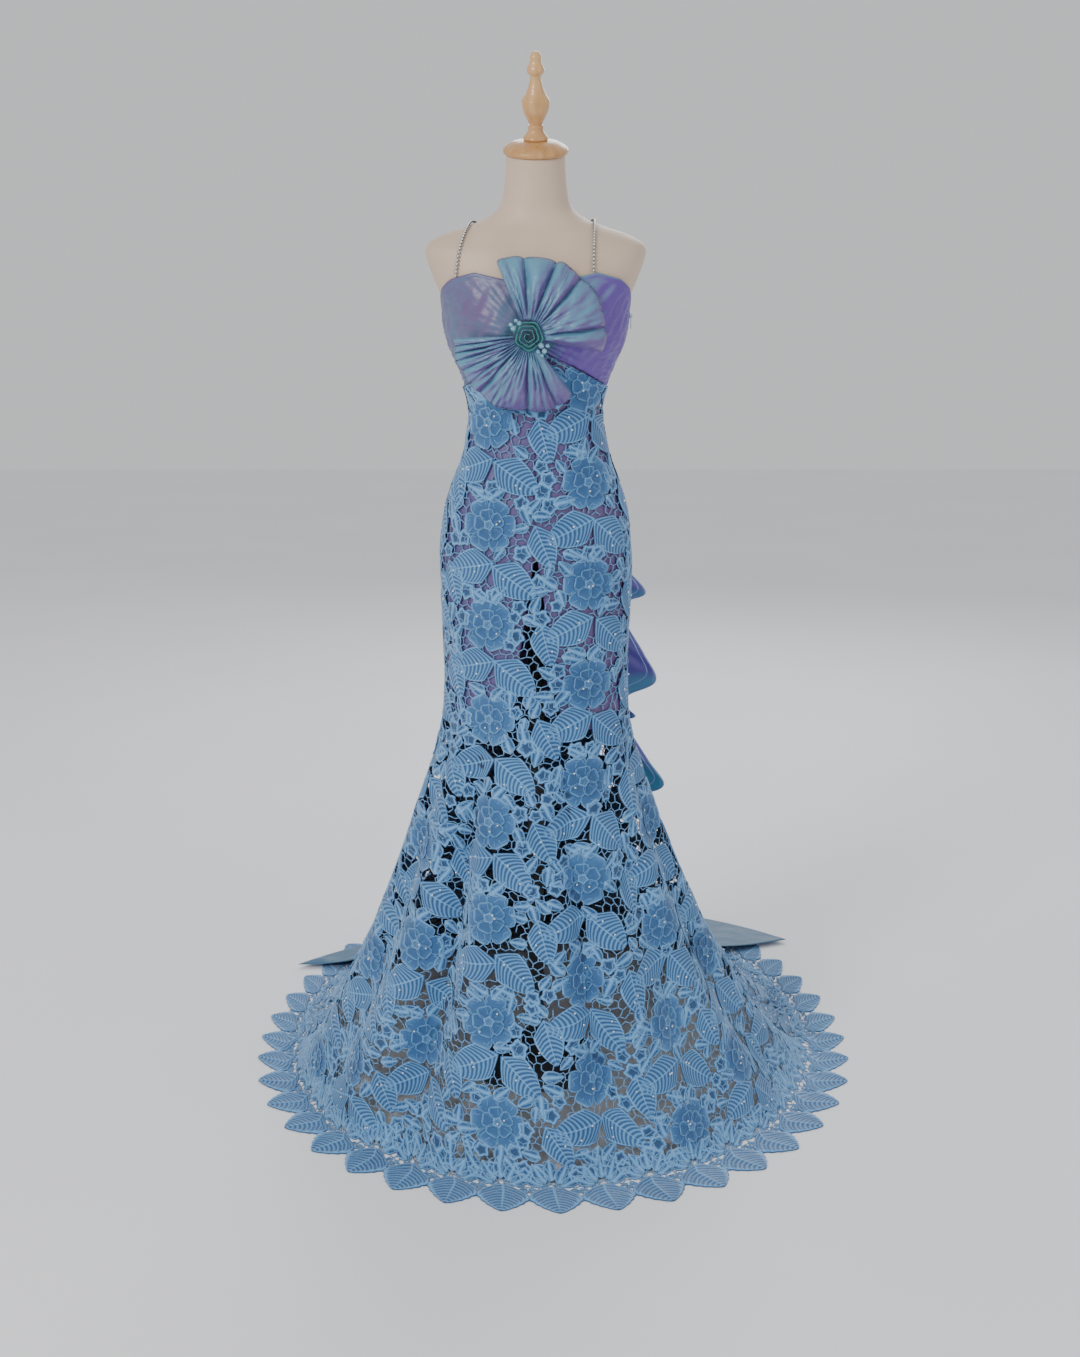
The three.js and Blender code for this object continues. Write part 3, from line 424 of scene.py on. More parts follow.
@dataclass(frozen=True)
class TaffetaFinish:
    """Shot taffeta of blue and purple, mixed by the way each face turns against a fixed lean: painted light
    over the cloth's own shot colours, with the lit sides blue and the sides away from the light purple.
    """

    name: str
    slot: str
    blue: tuple
    purple: tuple
    # Faces turned along the lean, away from the light, are painted purple, and faces turned against it,
    # towards the light, are painted blue: painted light
    lean: tuple = (0.55, 0.15, -0.6)
    middle: float = 0.42
    roughness: float = 0.36
    # Heights in metres and how purple the cloth is at each, for cloth folded in tiers
    tiers: tuple = ()

    def material(self) -> bpy.types.Material:
        """Builds the taffeta's material; its weave follows the flat layout, and its blue and purple are
        painted light by the way each face turns.

        Returns:
            The new material.
        """
        g = Graph(self.name)
        flat = g.add("UVMap", {"uv_map": "flat"})
        facing = g.add("TexCoord")
        dot = g.add("VectorMath", {"operation": "DOT_PRODUCT"})
        g.put(dot, 0, facing.outputs["Normal"])
        g.put(dot, 1, self.lean)
        # The slub's patches are partly uneven weave and partly painted highlights in blue and purple.
        slub_and_highlight = g.add("TexNoise", Vector=flat.outputs[0], Scale=14.0, Detail=5.0, Roughness=0.6)
        # The tone runs from blue to purple as each face turns along the lean: painted light, blue on the lit
        # sides and purple on the sides away from the light.
        shot_and_painted_light = g.maths("ADD", g.maths("MULTIPLY", dot.outputs["Value"], 0.75), self.middle)
        shot_and_painted_light = g.maths("ADD", shot_and_painted_light, g.maths("MULTIPLY", slub_and_highlight.outputs["Fac"], 0.9))
        shot_and_painted_light = g.maths("SUBTRACT", shot_and_painted_light, 0.45)
        if self.tiers:
            low, high = self.tiers[0][0], self.tiers[-1][0]
            height = g.add("SeparateXYZ", Vector=facing.outputs["Object"]).outputs["Z"]
            height = g.maths("DIVIDE", g.maths("SUBTRACT", height, low), high - low)
            stops = [((z - low) / (high - low), (tone, tone, tone)) for z, tone in self.tiers]
            shot_and_painted_light = g.maths("ADD", g.maths("MULTIPLY", shot_and_painted_light, 0.35), g.ramp(height, stops))
        stretch = g.add("Mapping", Vector=flat.outputs[0], Scale=(60.0, 900.0, 1.0))
        weft = g.add("TexNoise", Vector=stretch.outputs[0], Scale=1.0, Detail=2.0)
        colour = g.ramp(shot_and_painted_light, [(0.15, self.blue), (0.85, self.purple)])
        colour = g.mix(g.maths("MULTIPLY", weft.outputs["Fac"], 0.22), colour, (*rgb(150, 170, 200), 1))
        g.principled(Base_Color=colour, Roughness=self.roughness, Sheen_Weight=0.25, Sheen_Roughness=0.3)
        g.principled(Sheen_Tint=(0.55, 0.5, 0.9, 1), Anisotropic=0.35)
        creases = g.add("TexNoise", Vector=flat.outputs[0], Scale=55.0, Detail=3.0)
        height = g.maths("ADD", weft.outputs["Fac"], g.maths("MULTIPLY", creases.outputs["Fac"], 2.5))
        g.bump(height, 0.35, 0.0006)
        return g.material


@dataclass(frozen=True)
class PlainFinish:
    """A solid finish with soft patches of tone and a fine grain."""

    name: str
    slot: str
    dark: tuple
    light: tuple
    roughness: float
    metallic: float = 0.0
    grain: float = 90.0
    stretch: tuple = (1.0, 1.0, 1.0)
    depth: float = 0.0003
    coat: float = 0.0

    def material(self) -> bpy.types.Material:
        """Builds the material on object coordinates.

        Returns:
            The new material.
        """
        g = Graph(self.name)
        place = g.add("TexCoord")
        mapped = g.add("Mapping", Vector=place.outputs["Object"], Scale=self.stretch)
        grain = g.add("TexNoise", Vector=mapped.outputs[0], Scale=self.grain, Detail=5.0, Roughness=0.6)
        patch = g.add("TexNoise", Vector=place.outputs["Object"], Scale=7.0, Detail=2.0)
        tone = g.maths("MULTIPLY", g.maths("ADD", grain.outputs["Fac"], patch.outputs["Fac"]), 0.5)
        g.principled(Base_Color=g.ramp(tone, [(0.3, self.dark), (0.7, self.light)]))
        worn = g.add("MapRange", Value=grain.outputs["Fac"], To_Min=self.roughness - 0.08,
                     To_Max=self.roughness + 0.1)
        g.principled(Roughness=worn.outputs["Result"], Metallic=self.metallic, Coat_Weight=self.coat)
        g.bump(grain.outputs["Fac"], 0.4, self.depth)
        return g.material


@dataclass(frozen=True)
class GemFinish:
    """Cut glass or crystal: clear and bright, with a tint."""

    name: str
    slot: str
    tint: tuple
    transmission: float = 0.55

    def material(self) -> bpy.types.Material:
        """Builds the glass, with faint uneven tone from stone to stone.

        Returns:
            The new material.
        """
        g = Graph(self.name)
        place = g.add("TexCoord")
        cells = g.add("TexVoronoi", Vector=place.outputs["Object"], Scale=160.0)
        tone = g.mix(g.maths("MULTIPLY", cells.outputs["Color"], 0.35), (*self.tint, 1), (1, 1, 1, 1))
        g.principled(Base_Color=tone, Roughness=0.04, IOR=1.75, Transmission_Weight=self.transmission)
        g.principled(Coat_Weight=1.0, Coat_Roughness=0.03)
        return g.material


LACE = LaceFinish()
# Each taffeta's lean paints its lit sides blue and its sides away from the light purple: painted light over
# the cloth's shot colours.
TAFFETA = TaffetaFinish("shot_taffeta", "taffeta", rgb(66, 122, 146), rgb(96, 66, 118),
                        lean=(-0.45, -0.2, 0.5), middle=0.36)
TAFFETA_SIDE = TaffetaFinish("shot_taffeta_purple", "taffeta", rgb(86, 134, 160), rgb(88, 40, 148),
                             lean=(0.9, 0.1, -1.2), middle=0.48)
TAFFETA_BACK = TaffetaFinish("shot_taffeta_back", "taffeta", rgb(66, 122, 146), rgb(92, 52, 136),
                             lean=(0.7, -0.5, -0.3), middle=0.4)
TAFFETA_TRAIN = TaffetaFinish("shot_taffeta_teal", "taffeta", rgb(44, 96, 124), rgb(70, 78, 140),
                              lean=(0.5, 0.3, -0.3), middle=0.22)
TAFFETA_CASCADE = TaffetaFinish(
    "shot_taffeta_cascade", "taffeta", rgb(66, 144, 164), rgb(84, 58, 150),
    tiers=((0.47, 0.05), (0.52, 0.1), (0.55, 0.75), (0.6, 0.8), (0.618, 0.1), (0.635, 0.7), (0.65, 0.1),
           (0.69, 0.15), (0.715, 0.8), (0.8, 0.85), (0.835, 0.15), (0.852, 0.2), (0.868, 0.85), (0.94, 0.9)))
SLIP_SILK = TaffetaFinish("shot_taffeta_slip", "slip_taffeta", rgb(84, 70, 130), rgb(92, 54, 118),
                          middle=0.6)
TAFFETA_WING = TaffetaFinish("shot_taffeta_flower", "taffeta", rgb(82, 142, 168), rgb(104, 72, 142),
                             middle=0.54)
TAFFETA_HEM = TaffetaFinish("taffeta_hem", "taffeta", rgb(132, 176, 212), rgb(150, 140, 210))
# The rose's dark and light teal are painted shade and painted light by the way each face turns.
ROSE_SATIN = TaffetaFinish("rose_satin", "rose_satin", rgb(24, 124, 116), rgb(92, 192, 178), roughness=0.26)
SHELL = PlainFinish("form_jersey", "form_shell", rgb(194, 170, 148), rgb(220, 198, 176), 0.5, grain=900.0)
WOOD = PlainFinish("turned_beech", "wood", rgb(176, 122, 66), rgb(222, 178, 120), 0.38, grain=16.0,
                   stretch=(5.0, 5.0, 0.6), depth=0.0002, coat=0.35)
STEEL = PlainFinish("painted_steel", "steel", rgb(58, 59, 62), rgb(92, 93, 96), 0.42, grain=350.0)
SILVER = PlainFinish("silver_cups", "stones", rgb(70, 72, 80), rgb(118, 120, 128), 0.3, 1.0, 300.0)
ZIP_BLUE = PlainFinish("zip_lacquer", "zip_metal", rgb(112, 140, 186), rgb(158, 184, 220), 0.3, 0.2, 500.0)
CLEAR_STONE = GemFinish("clear_stones", "stones", (0.93, 0.95, 1.0), 0.15)
TEAL_STONE = GemFinish("teal_crystals", "stones", (0.12, 0.5, 0.66), 0.3)
Finish = LaceFinish | TaffetaFinish | PlainFinish | GemFinish


class Wardrobe:
    """Makes each finish's material once, and dresses pieces in it."""

    def __init__(self) -> None:
        """Starts with no materials."""
        self.made: dict[Finish, bpy.types.Material] = {}

    def material(self, finish: Finish) -> bpy.types.Material:
        """The finish's material."""
        if finish not in self.made:
            self.made[finish] = finish.material()
        return self.made[finish]

    def dress(self, piece: bpy.types.Object, finish: Finish) -> None:
        """Puts a finish on a new piece."""
        piece.data.materials.clear()
        piece.data.materials.append(self.material(finish))

    def dress_node(self, name: str, finish: Finish) -> None:
        """Puts a finish on a node that is kept as it is.

        Args:
            name: the node's name.
            finish: what it is dressed in.
        """
        node = frame_node(name)
        if not node.material_slots:
            node.data.materials.append(None)
        for place in node.material_slots:
            place.material = self.material(finish)


WARDROBE = Wardrobe()


def frame_node(name: str) -> bpy.types.Object:
    """The object of a node of the frame."""
    return bpy.data.objects[name]


# Meshes

class MeshParts:
    """Many small shapes gathered into one mesh, in flat or in body coordinates."""

    def __init__(self) -> None:
        """Starts empty."""
        self.points: list[Points] = []
        self.relief: list[np.ndarray] = []
        self.loops: list[np.ndarray] = []
        self.totals: list[np.ndarray] = []
        self.count = 0

    def add(self, shape: "Shape", placed: Points) -> None:
        """Adds copies of a shape.

        Args:
            shape: the shape that is repeated.
            placed: the points of every copy, copies by points by 3.
        """
        copies, points = placed.shape[:2]
        starts = self.count + np.arange(copies)[:, None] * points
        self.points.append(placed.reshape(-1, 3))
        self.relief.append(np.tile(shape.relief, copies))
        self.loops.append((starts + shape.loops[None, :]).ravel())
        self.totals.append(np.tile(shape.totals, copies))
        self.count += copies * points

    def mesh(self, name: str, place: Callable[[Points], Points], uv: bool = True) -> bpy.types.Object:
        """Makes one object of all the shapes.

        Args:
            name: the object's name.
            place: turns the gathered points into the row's frame, in metres.
            uv: whether the flat layout is kept as the UV map.

        Returns:
            The new object.
        """
        flat = np.concatenate(self.points)
        loops = np.concatenate(self.loops).astype(np.int32)
        totals = np.concatenate(self.totals).astype(np.int32)
        mesh = bpy.data.meshes.new(name)
        mesh.vertices.add(len(flat))
        mesh.vertices.foreach_set("co", place(flat).astype(np.float32).ravel())
        mesh.loops.add(len(loops))
        mesh.loops.foreach_set("vertex_index", loops)
        mesh.polygons.add(len(totals))
        starts = np.concatenate([[0], np.cumsum(totals)[:-1]]).astype(np.int32)
        mesh.polygons.foreach_set("loop_start", starts)
        mesh.update(calc_edges=True)
        # The lace's material paints shade in the hollows and a highlight on the tops from this relief
        relief = mesh.attributes.new("relief", "FLOAT", "POINT")
        relief.data.foreach_set("value", np.concatenate(self.relief).astype(np.float32))
        if uv:
            layer = mesh.uv_layers.new(name="flat")
            layer.data.foreach_set("uv", (flat[loops, :2] * MM).astype(np.float32).ravel())
        mesh.validate()
        return shown(name, mesh)


@dataclass
class Shape:
    """A small closed form that is copied many times."""

    points: Points
    loops: np.ndarray
    totals: np.ndarray
    relief: np.ndarray

    @classmethod
    def of(cls, bm: bmesh.types.BMesh, low: float = 0.0, high: float = 1.0) -> "Shape":
        """Reads a bmesh and frees it. The relief runs from 0 at low to 1 at high, and the lace's colour
        paints shade and highlight from it.

        Args:
            bm: the mesh.
            low: height in the hollows.
            high: height on the ridges.

        Returns:
            The shape.
        """
        bm.verts.index_update()
        points = np.array([v.co for v in bm.verts])
        loops = np.array([v.index for f in bm.faces for v in f.verts])
        totals = np.array([len(f.verts) for f in bm.faces])
        bm.free()
        return cls(points, loops, totals, np.clip((points[:, 2] - low) / (high - low), 0, 1))

    def laid(self, x: np.ndarray, y: np.ndarray, turn: np.ndarray, size: np.ndarray,
             height: np.ndarray) -> Points:
        """Copies lying flat, each moved, turned and sized in the plane.

        Args:
            x: across, for each copy.
            y: up, for each copy.
            turn: radians from +x, for each copy.
            size: scale in the plane, for each copy.
            height: added to each copy's height.

        Returns:
            Points of every copy, copies by points by 3.
        """
        p = self.points
        c, s = np.cos(turn) * size, np.sin(turn) * size
        across = x[:, None] + c[:, None] * p[None, :, 0] - s[:, None] * p[None, :, 1]
        up = y[:, None] + s[:, None] * p[None, :, 0] + c[:, None] * p[None, :, 1]
        return np.stack([across, up, p[None, :, 2] + height[:, None]], axis=2)

    def stretched(self, start: Points, end: Points, width: float) -> Points:
        """Copies that run from start to end in the plane, as bars.

        Args:
            start: copies by 3, where each bar begins.
            end: copies by 3, where each bar ends.
            width: scale across each bar and of its height.

        Returns:
            Points of every copy, copies by points by 3.
        """
        run = end - start
        side = np.stack([-run[:, 1], run[:, 0], np.zeros(len(run))], axis=1)
        side /= np.linalg.norm(side, axis=1)[:, None] + 1e-9
        p = self.points
        placed = start[:, None] + run[:, None] * p[None, :, 0:1] + side[:, None] * p[None, :, 1:2] * width
        placed[:, :, 2] += p[None, :, 2] * width
        return placed


def shown(name: str, mesh: bpy.types.Mesh, smooth: bool = True) -> bpy.types.Object:
    """Links a mesh as an object that rides on the gown's body.

    Args:
        name: the object's name.
        mesh: its mesh.
        smooth: whether it is shaded smooth.

    Returns:
        The linked object.
    """
    piece = bpy.data.objects.new(name, mesh)
    bpy.context.scene.collection.objects.link(piece)
    if smooth:
        mesh.polygons.foreach_set("use_smooth", [True] * len(mesh.polygons))
    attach(piece, GOWN)
    return piece


def finished(bm: bmesh.types.BMesh, name: str, smooth: bool = True) -> bpy.types.Object:
    """Turns a bmesh in millimetres into an object in metres.

    Args:
        bm: the mesh, which is freed.
        name: the object's name.
        smooth: whether it is shaded smooth.

    Returns:
        The new object.
    """
    bmesh.ops.scale(bm, vec=(MM, MM, MM), verts=bm.verts)
    mesh = bpy.data.meshes.new(name)
    bm.to_mesh(mesh)
    bm.free()
    return shown(name, mesh, smooth)


def grid(columns: int, rows: int) -> tuple[bmesh.types.BMesh, np.ndarray, np.ndarray]:
    """A grid of the unit square, with its corners' u and v.

    Args:
        columns: cells along u.
        rows: cells along v.

    Returns:
        The mesh, and the u and v of its corners.
    """
    bm = bmesh.new()
    bm.loops.layers.uv.new("flat")
    bmesh.ops.create_grid(bm, x_segments=columns, y_segments=rows, size=0.5, calc_uvs=True)
    flat = np.array([v.co for v in bm.verts])
    return bm, flat[:, 0] + 0.5, flat[:, 1] + 0.5


@dataclass
class Cloth:
    """A panel of cloth made from a grid, given its wall and its flat size."""

    name: str
    columns: int
    rows: int
    width: float
    length: float
    wall: float
    facing: tuple | None = (0, 0, 0)

    def make(self, at: Callable[[np.ndarray, np.ndarray], Points], finish: Finish) -> bpy.types.Object:
        """Makes the panel.

        Args:
            at: the points, in millimetres, of the outer face at u across and v down.
            finish: what it is made of.

        Returns:
            The new object, with a live wall.
        """
        bm, u, v = grid(self.columns, self.rows)
        points = at(u, 1 - v)
        for vert, point in zip(bm.verts, points):
            vert.co = point
        layer = bm.loops.layers.uv["flat"]
        for face in bm.faces:
            for loop in face.loops:
                uv = loop[layer].uv
                loop[layer].uv = (uv.x * self.width * MM, uv.y * self.length * MM)
        self.face_out(bm)
        piece = finished(bm, self.name)
        wall = piece.modifiers.new("wall", "SOLIDIFY")
        wall.thickness, wall.offset, wall.use_even_offset = self.wall * MM, -1.0, False
        WARDROBE.dress(piece, finish)
        return piece

    def face_out(self, bm: bmesh.types.BMesh) -> None:
        """Turns the faces over where a face in the front part looks the wrong way.

        Args:
            bm: the sheet's mesh.
        """
        if self.facing is None:
            return
        bm.faces.ensure_lookup_table()
        face = bm.faces[self.columns * (3 * self.rows // 4) + self.columns // 2]
        face.normal_update()
        centre = face.calc_center_median()
        way = Vector(self.facing) if any(self.facing) else Vector((centre.x, centre.y, 0))
        if face.normal.dot(way) < 0:
            bmesh.ops.reverse_faces(bm, faces=bm.faces)


# Small shapes that are repeated

def bar_shape() -> Shape:
    """A closed three-sided bar of length 1 along x and width 1, lying flat.

    Returns:
        The bar.
    """
    bm = bmesh.new()
    bmesh.ops.create_cone(bm, cap_ends=True, segments=3, radius1=0.577, radius2=0.577, depth=1)
    bmesh.ops.rotate(bm, cent=(0, 0, 0), matrix=Matrix.Rotation(math.pi / 2, 3, "Y"), verts=bm.verts)
    low = min(v.co.z for v in bm.verts)
    bmesh.ops.translate(bm, vec=(0.5, 0, -low), verts=bm.verts)
    bmesh.ops.scale(bm, vec=(1, 1, 0.8), verts=bm.verts)
    return Shape.of(bm, low=-0.3, high=0.85)


def ball_shape() -> Shape:
    """A bead of radius 1 with twenty facets."""
    bm = bmesh.new()
    bmesh.ops.create_icosphere(bm, subdivisions=1, radius=1)
    return Shape.of(bm, low=-1)


def stone_shape(sides: int, girdle: float, table: float, high: float) -> Shape:
    """A cut stone: a crown with a flat table over a shallow point.

    Args:
        sides: corners round it.
        girdle: its widest radius.
        table: the flat top's radius.
        high: its height.

    Returns:
        The stone.
    """
    bm = bmesh.new()
    bmesh.ops.create_cone(bm, cap_ends=True, segments=sides, radius1=girdle, radius2=table, depth=high)
    bmesh.ops.translate(bm, vec=(0, 0, high / 2), verts=bm.verts)
    bottom = [f for f in bm.faces if f.normal.z < -0.9]
    bmesh.ops.inset_region(bm, faces=bottom, thickness=girdle * 0.55, depth=-high * 0.4)
    return Shape.of(bm, high=high)


def cup_shape(sides: int, radius: float, depth: float) -> Shape:
    """A stone's metal cup, open to the front, with a claw at every other corner.

    Args:
        sides: corners round it.
        radius: its radius.
        depth: its depth.

    Returns:
        The cup.
    """
    bm = bmesh.new()
    bmesh.ops.create_cone(bm, cap_ends=True, segments=sides, radius1=radius * 0.72, radius2=radius,
                          depth=depth)
    bmesh.ops.translate(bm, vec=(0, 0, depth / 2), verts=bm.verts)
    front = [f for f in bm.faces if f.normal.z > 0.9]
    bmesh.ops.inset_region(bm, faces=front, thickness=radius * 0.16, depth=0)
    bmesh.ops.translate(bm, vec=(0, 0, -depth * 0.5), verts=list(front[0].verts))
    return Shape.of(bm, high=depth)


@dataclass(frozen=True)
class Blade:
    """A ribbed leaf or petal, lying along x with its middle at the origin."""

    length: float
    width: float
    ribs: int
    stations: tuple = (0.06, 0.32, 0.62, 0.88, 0.95)
    stalk: float = 0.5
    tip: float = 0.8
    sweep: float = 0.33
    teeth: int = 0
    valley: float = 1.2
    ridge: float = 2.6
    rim: float = 2.9
    rise: float = 0.0
    edge: float = 0.5
    midrib: bool = True
    crowd: float = 1.0
    # How far under the valleys the relief begins, which sets how dark the lace's painted shade is in them
    shade: float = 0.5

    def half_width(self, share: np.ndarray) -> np.ndarray:
        """Half the width at a share of the length from the stalk.

        Args:
            share: 0 at the stalk, 1 at the tip.

        Returns:
            Half the width there.
        """
        s = np.clip(share, 0.004, 0.996)
        peak = self.stalk / (self.stalk + self.tip)
        top = peak ** self.stalk * (1 - peak) ** self.tip
        half = self.width / 2 * s ** self.stalk * (1 - s) ** self.tip / top
        return half * (1 + 0.1 * np.abs(np.sin(self.teeth * math.pi * s)) * (self.teeth > 0))

    def covers(self, x: np.ndarray, y: np.ndarray, border: float) -> np.ndarray:
        """Whether places lie inside the outline by at least the border."""
        share = x / self.length + 0.5
        inside = (share > 0.06) & (share < 0.94)
        return inside & (np.abs(y) < self.half_width(share) - border)

    def shape(self) -> Shape:
        """Makes the blade: curved ribs from a midrib to a raised rim, with a flat underside.

        Returns:
            The blade's shape.
        """
        across = np.array([-1, *(-s for s in self.stations[::-1]), 0, *self.stations, 1])
        columns = 2 * self.ribs
        bm, u, v = grid(columns, len(across) - 1)
        station = np.interp(v, np.linspace(0, 1, len(across)), across)
        away = np.abs(station)
        along = 0.015 + 0.97 * (1 - (1 - u) ** self.crowd)
        share = along + self.sweep * away ** 1.6 * (1 - along) ** 0.9
        high = np.where(np.round(u * columns) % 2 > 0, self.ridge, self.valley)
        high = np.where((away > 0.9) | (self.midrib & (away < 0.02)), self.rim, high)
        high = np.where((away > 0.99) | (u < 0.01) | (u > 0.99), self.rim * self.edge, high)
        high = high * (1 - self.rise * (1 - share))
        lengthwise, sideways = (share - 0.5) * self.length, station * self.half_width(share)
        for vert, x, y, z in zip(bm.verts, lengthwise, sideways, high):
            vert.co = (x, y, z)
        border = [e for e in bm.edges if e.is_boundary]
        skirt = bmesh.ops.extrude_edge_only(bm, edges=border)["geom"]
        for vert in (g for g in skirt if isinstance(g, bmesh.types.BMVert)):
            vert.co.z = 0
        bmesh.ops.holes_fill(bm, edges=[e for e in bm.edges if e.is_boundary])
        self.cut_underside(bm)
        bmesh.ops.recalc_face_normals(bm, faces=bm.faces)
        return Shape.of(bm, low=self.valley - self.shade, high=self.rim)

    def cut_underside(self, bm: bmesh.types.BMesh) -> None:
        """Cuts the flat underside into patches, so that it can follow the figure.

        Args:
            bm: the blade's mesh.
        """
        pieces = 4 if self.ribs > 6 else 2
        for axis, size in ((0, self.length), (1, self.width)):
            for number in range(1, pieces):
                spot, way = [0, 0, 0], [0, 0, 0]
                spot[axis], way[axis] = size * (number / pieces - 0.5), 1
                under = [f for f in bm.faces if all(v.co.z < 0.01 for v in f.verts)]
                edges = {e for f in under for e in f.edges}
                verts = {v for f in under for v in f.verts}
                bmesh.ops.bisect_plane(bm, geom=[*under, *edges, *verts], plane_co=spot, plane_no=way)


def blossom_shape(radius: float) -> Shape:
    """A small flower of five petals with a raised outline and a hollow eye, lying flat.

    Args:
        radius: to the petals' tips.

    Returns:
        The flower.
    """
    bm = bmesh.new()
    bmesh.ops.create_circle(bm, cap_ends=True, segments=15, radius=radius)
    face = bm.faces[:]
    bmesh.ops.inset_region(bm, faces=face, use_boundary=True, thickness=radius * 0.17)
    bmesh.ops.inset_region(bm, faces=face, use_boundary=True, thickness=radius * 0.4)
    for vert in bm.verts:
        away = vert.co.xy.length / radius
        petal = 1 + 0.2 * math.cos(5 * math.atan2(vert.co.y, vert.co.x))
        vert.co.x, vert.co.y = vert.co.x * petal, vert.co.y * petal
        vert.co.z = 1.0 if away > 0.95 else 2.5 if away > 0.6 else 0.7
    border = [e for e in bm.edges if e.is_boundary]
    skirt = bmesh.ops.extrude_edge_only(bm, edges=border)["geom"]
    for vert in (g for g in skirt if isinstance(g, bmesh.types.BMVert)):
        vert.co.z = 0
    bmesh.ops.holes_fill(bm, edges=[e for e in bm.edges if e.is_boundary])
    bmesh.ops.recalc_face_normals(bm, faces=bm.faces)
    return Shape.of(bm, low=0.2, high=2.5)


LEAF = Blade(92, 60, 11)
SIDE_LEAF = Blade(80, 48, 10, stations=(0.06, 0.4, 0.8, 0.94))
PETAL = Blade(38, 36, 2, stations=(0.5, 0.84), stalk=0.75, tip=0.28, sweep=0.1, valley=0.9, ridge=1.3,
              rise=0.5, edge=1.0, midrib=False, crowd=1.6, shade=1.7)
INNER_PETAL = Blade(26, 25, 2, stations=(0.74,), stalk=0.7, tip=0.28, sweep=0.1, valley=1.0, ridge=1.2,
                    rim=3.2, rise=0.4, edge=1.0, midrib=False, crowd=1.6, shade=1.5)
SPRIG = Blade(34, 20, 2, stations=(0.6,), sweep=0.2, rim=2.5, ridge=0.7, valley=0.7, edge=1.0)
HEM_LEAF = Blade(84, 94, 10, stations=(0.06, 0.35, 0.7, 0.93), stalk=0.26, tip=0.84, sweep=0.5, teeth=8)


class Motif(Enum):
    """The kinds of motif in the lace's repeat."""

    LEAF = "leaf"
    SIDE_LEAF = "side leaf"
    ROSE = "rose"
    SPRIG = "sprig"
    STAR = "star"


@dataclass(frozen=True)
class LacePattern:
    """The lace's repeat, which is one column of leaf pairs and roses with sprigs round them."""

    width: float = 165.0
    height: float = 166.0
    column_step: float = 0.6
    # Motif, across, down, degrees from across, size
    motifs: tuple = (
        (Motif.LEAF, -42, -4, 197, 1.0), (Motif.LEAF, 35, 12, -42, 1.0), (Motif.ROSE, -10, 90, 0, 1.0),
        (Motif.SIDE_LEAF, 84, 120, -70, 1.0), (Motif.SPRIG, -30, 38, 150, 1.1), (Motif.SPRIG, 6, 40, 40, 1.1),
    )
    # Kind of petal, how many in the ring, reach, turn, lift
    rose: tuple = (("petal", 6, 26.0, 0.0, 0.0), ("inner", 5, 13.0, 0.5, 0.7))
    rose_cover: float = 36.0


PATTERN = LacePattern()
NET_BAR = bar_shape()
BEAD = ball_shape()


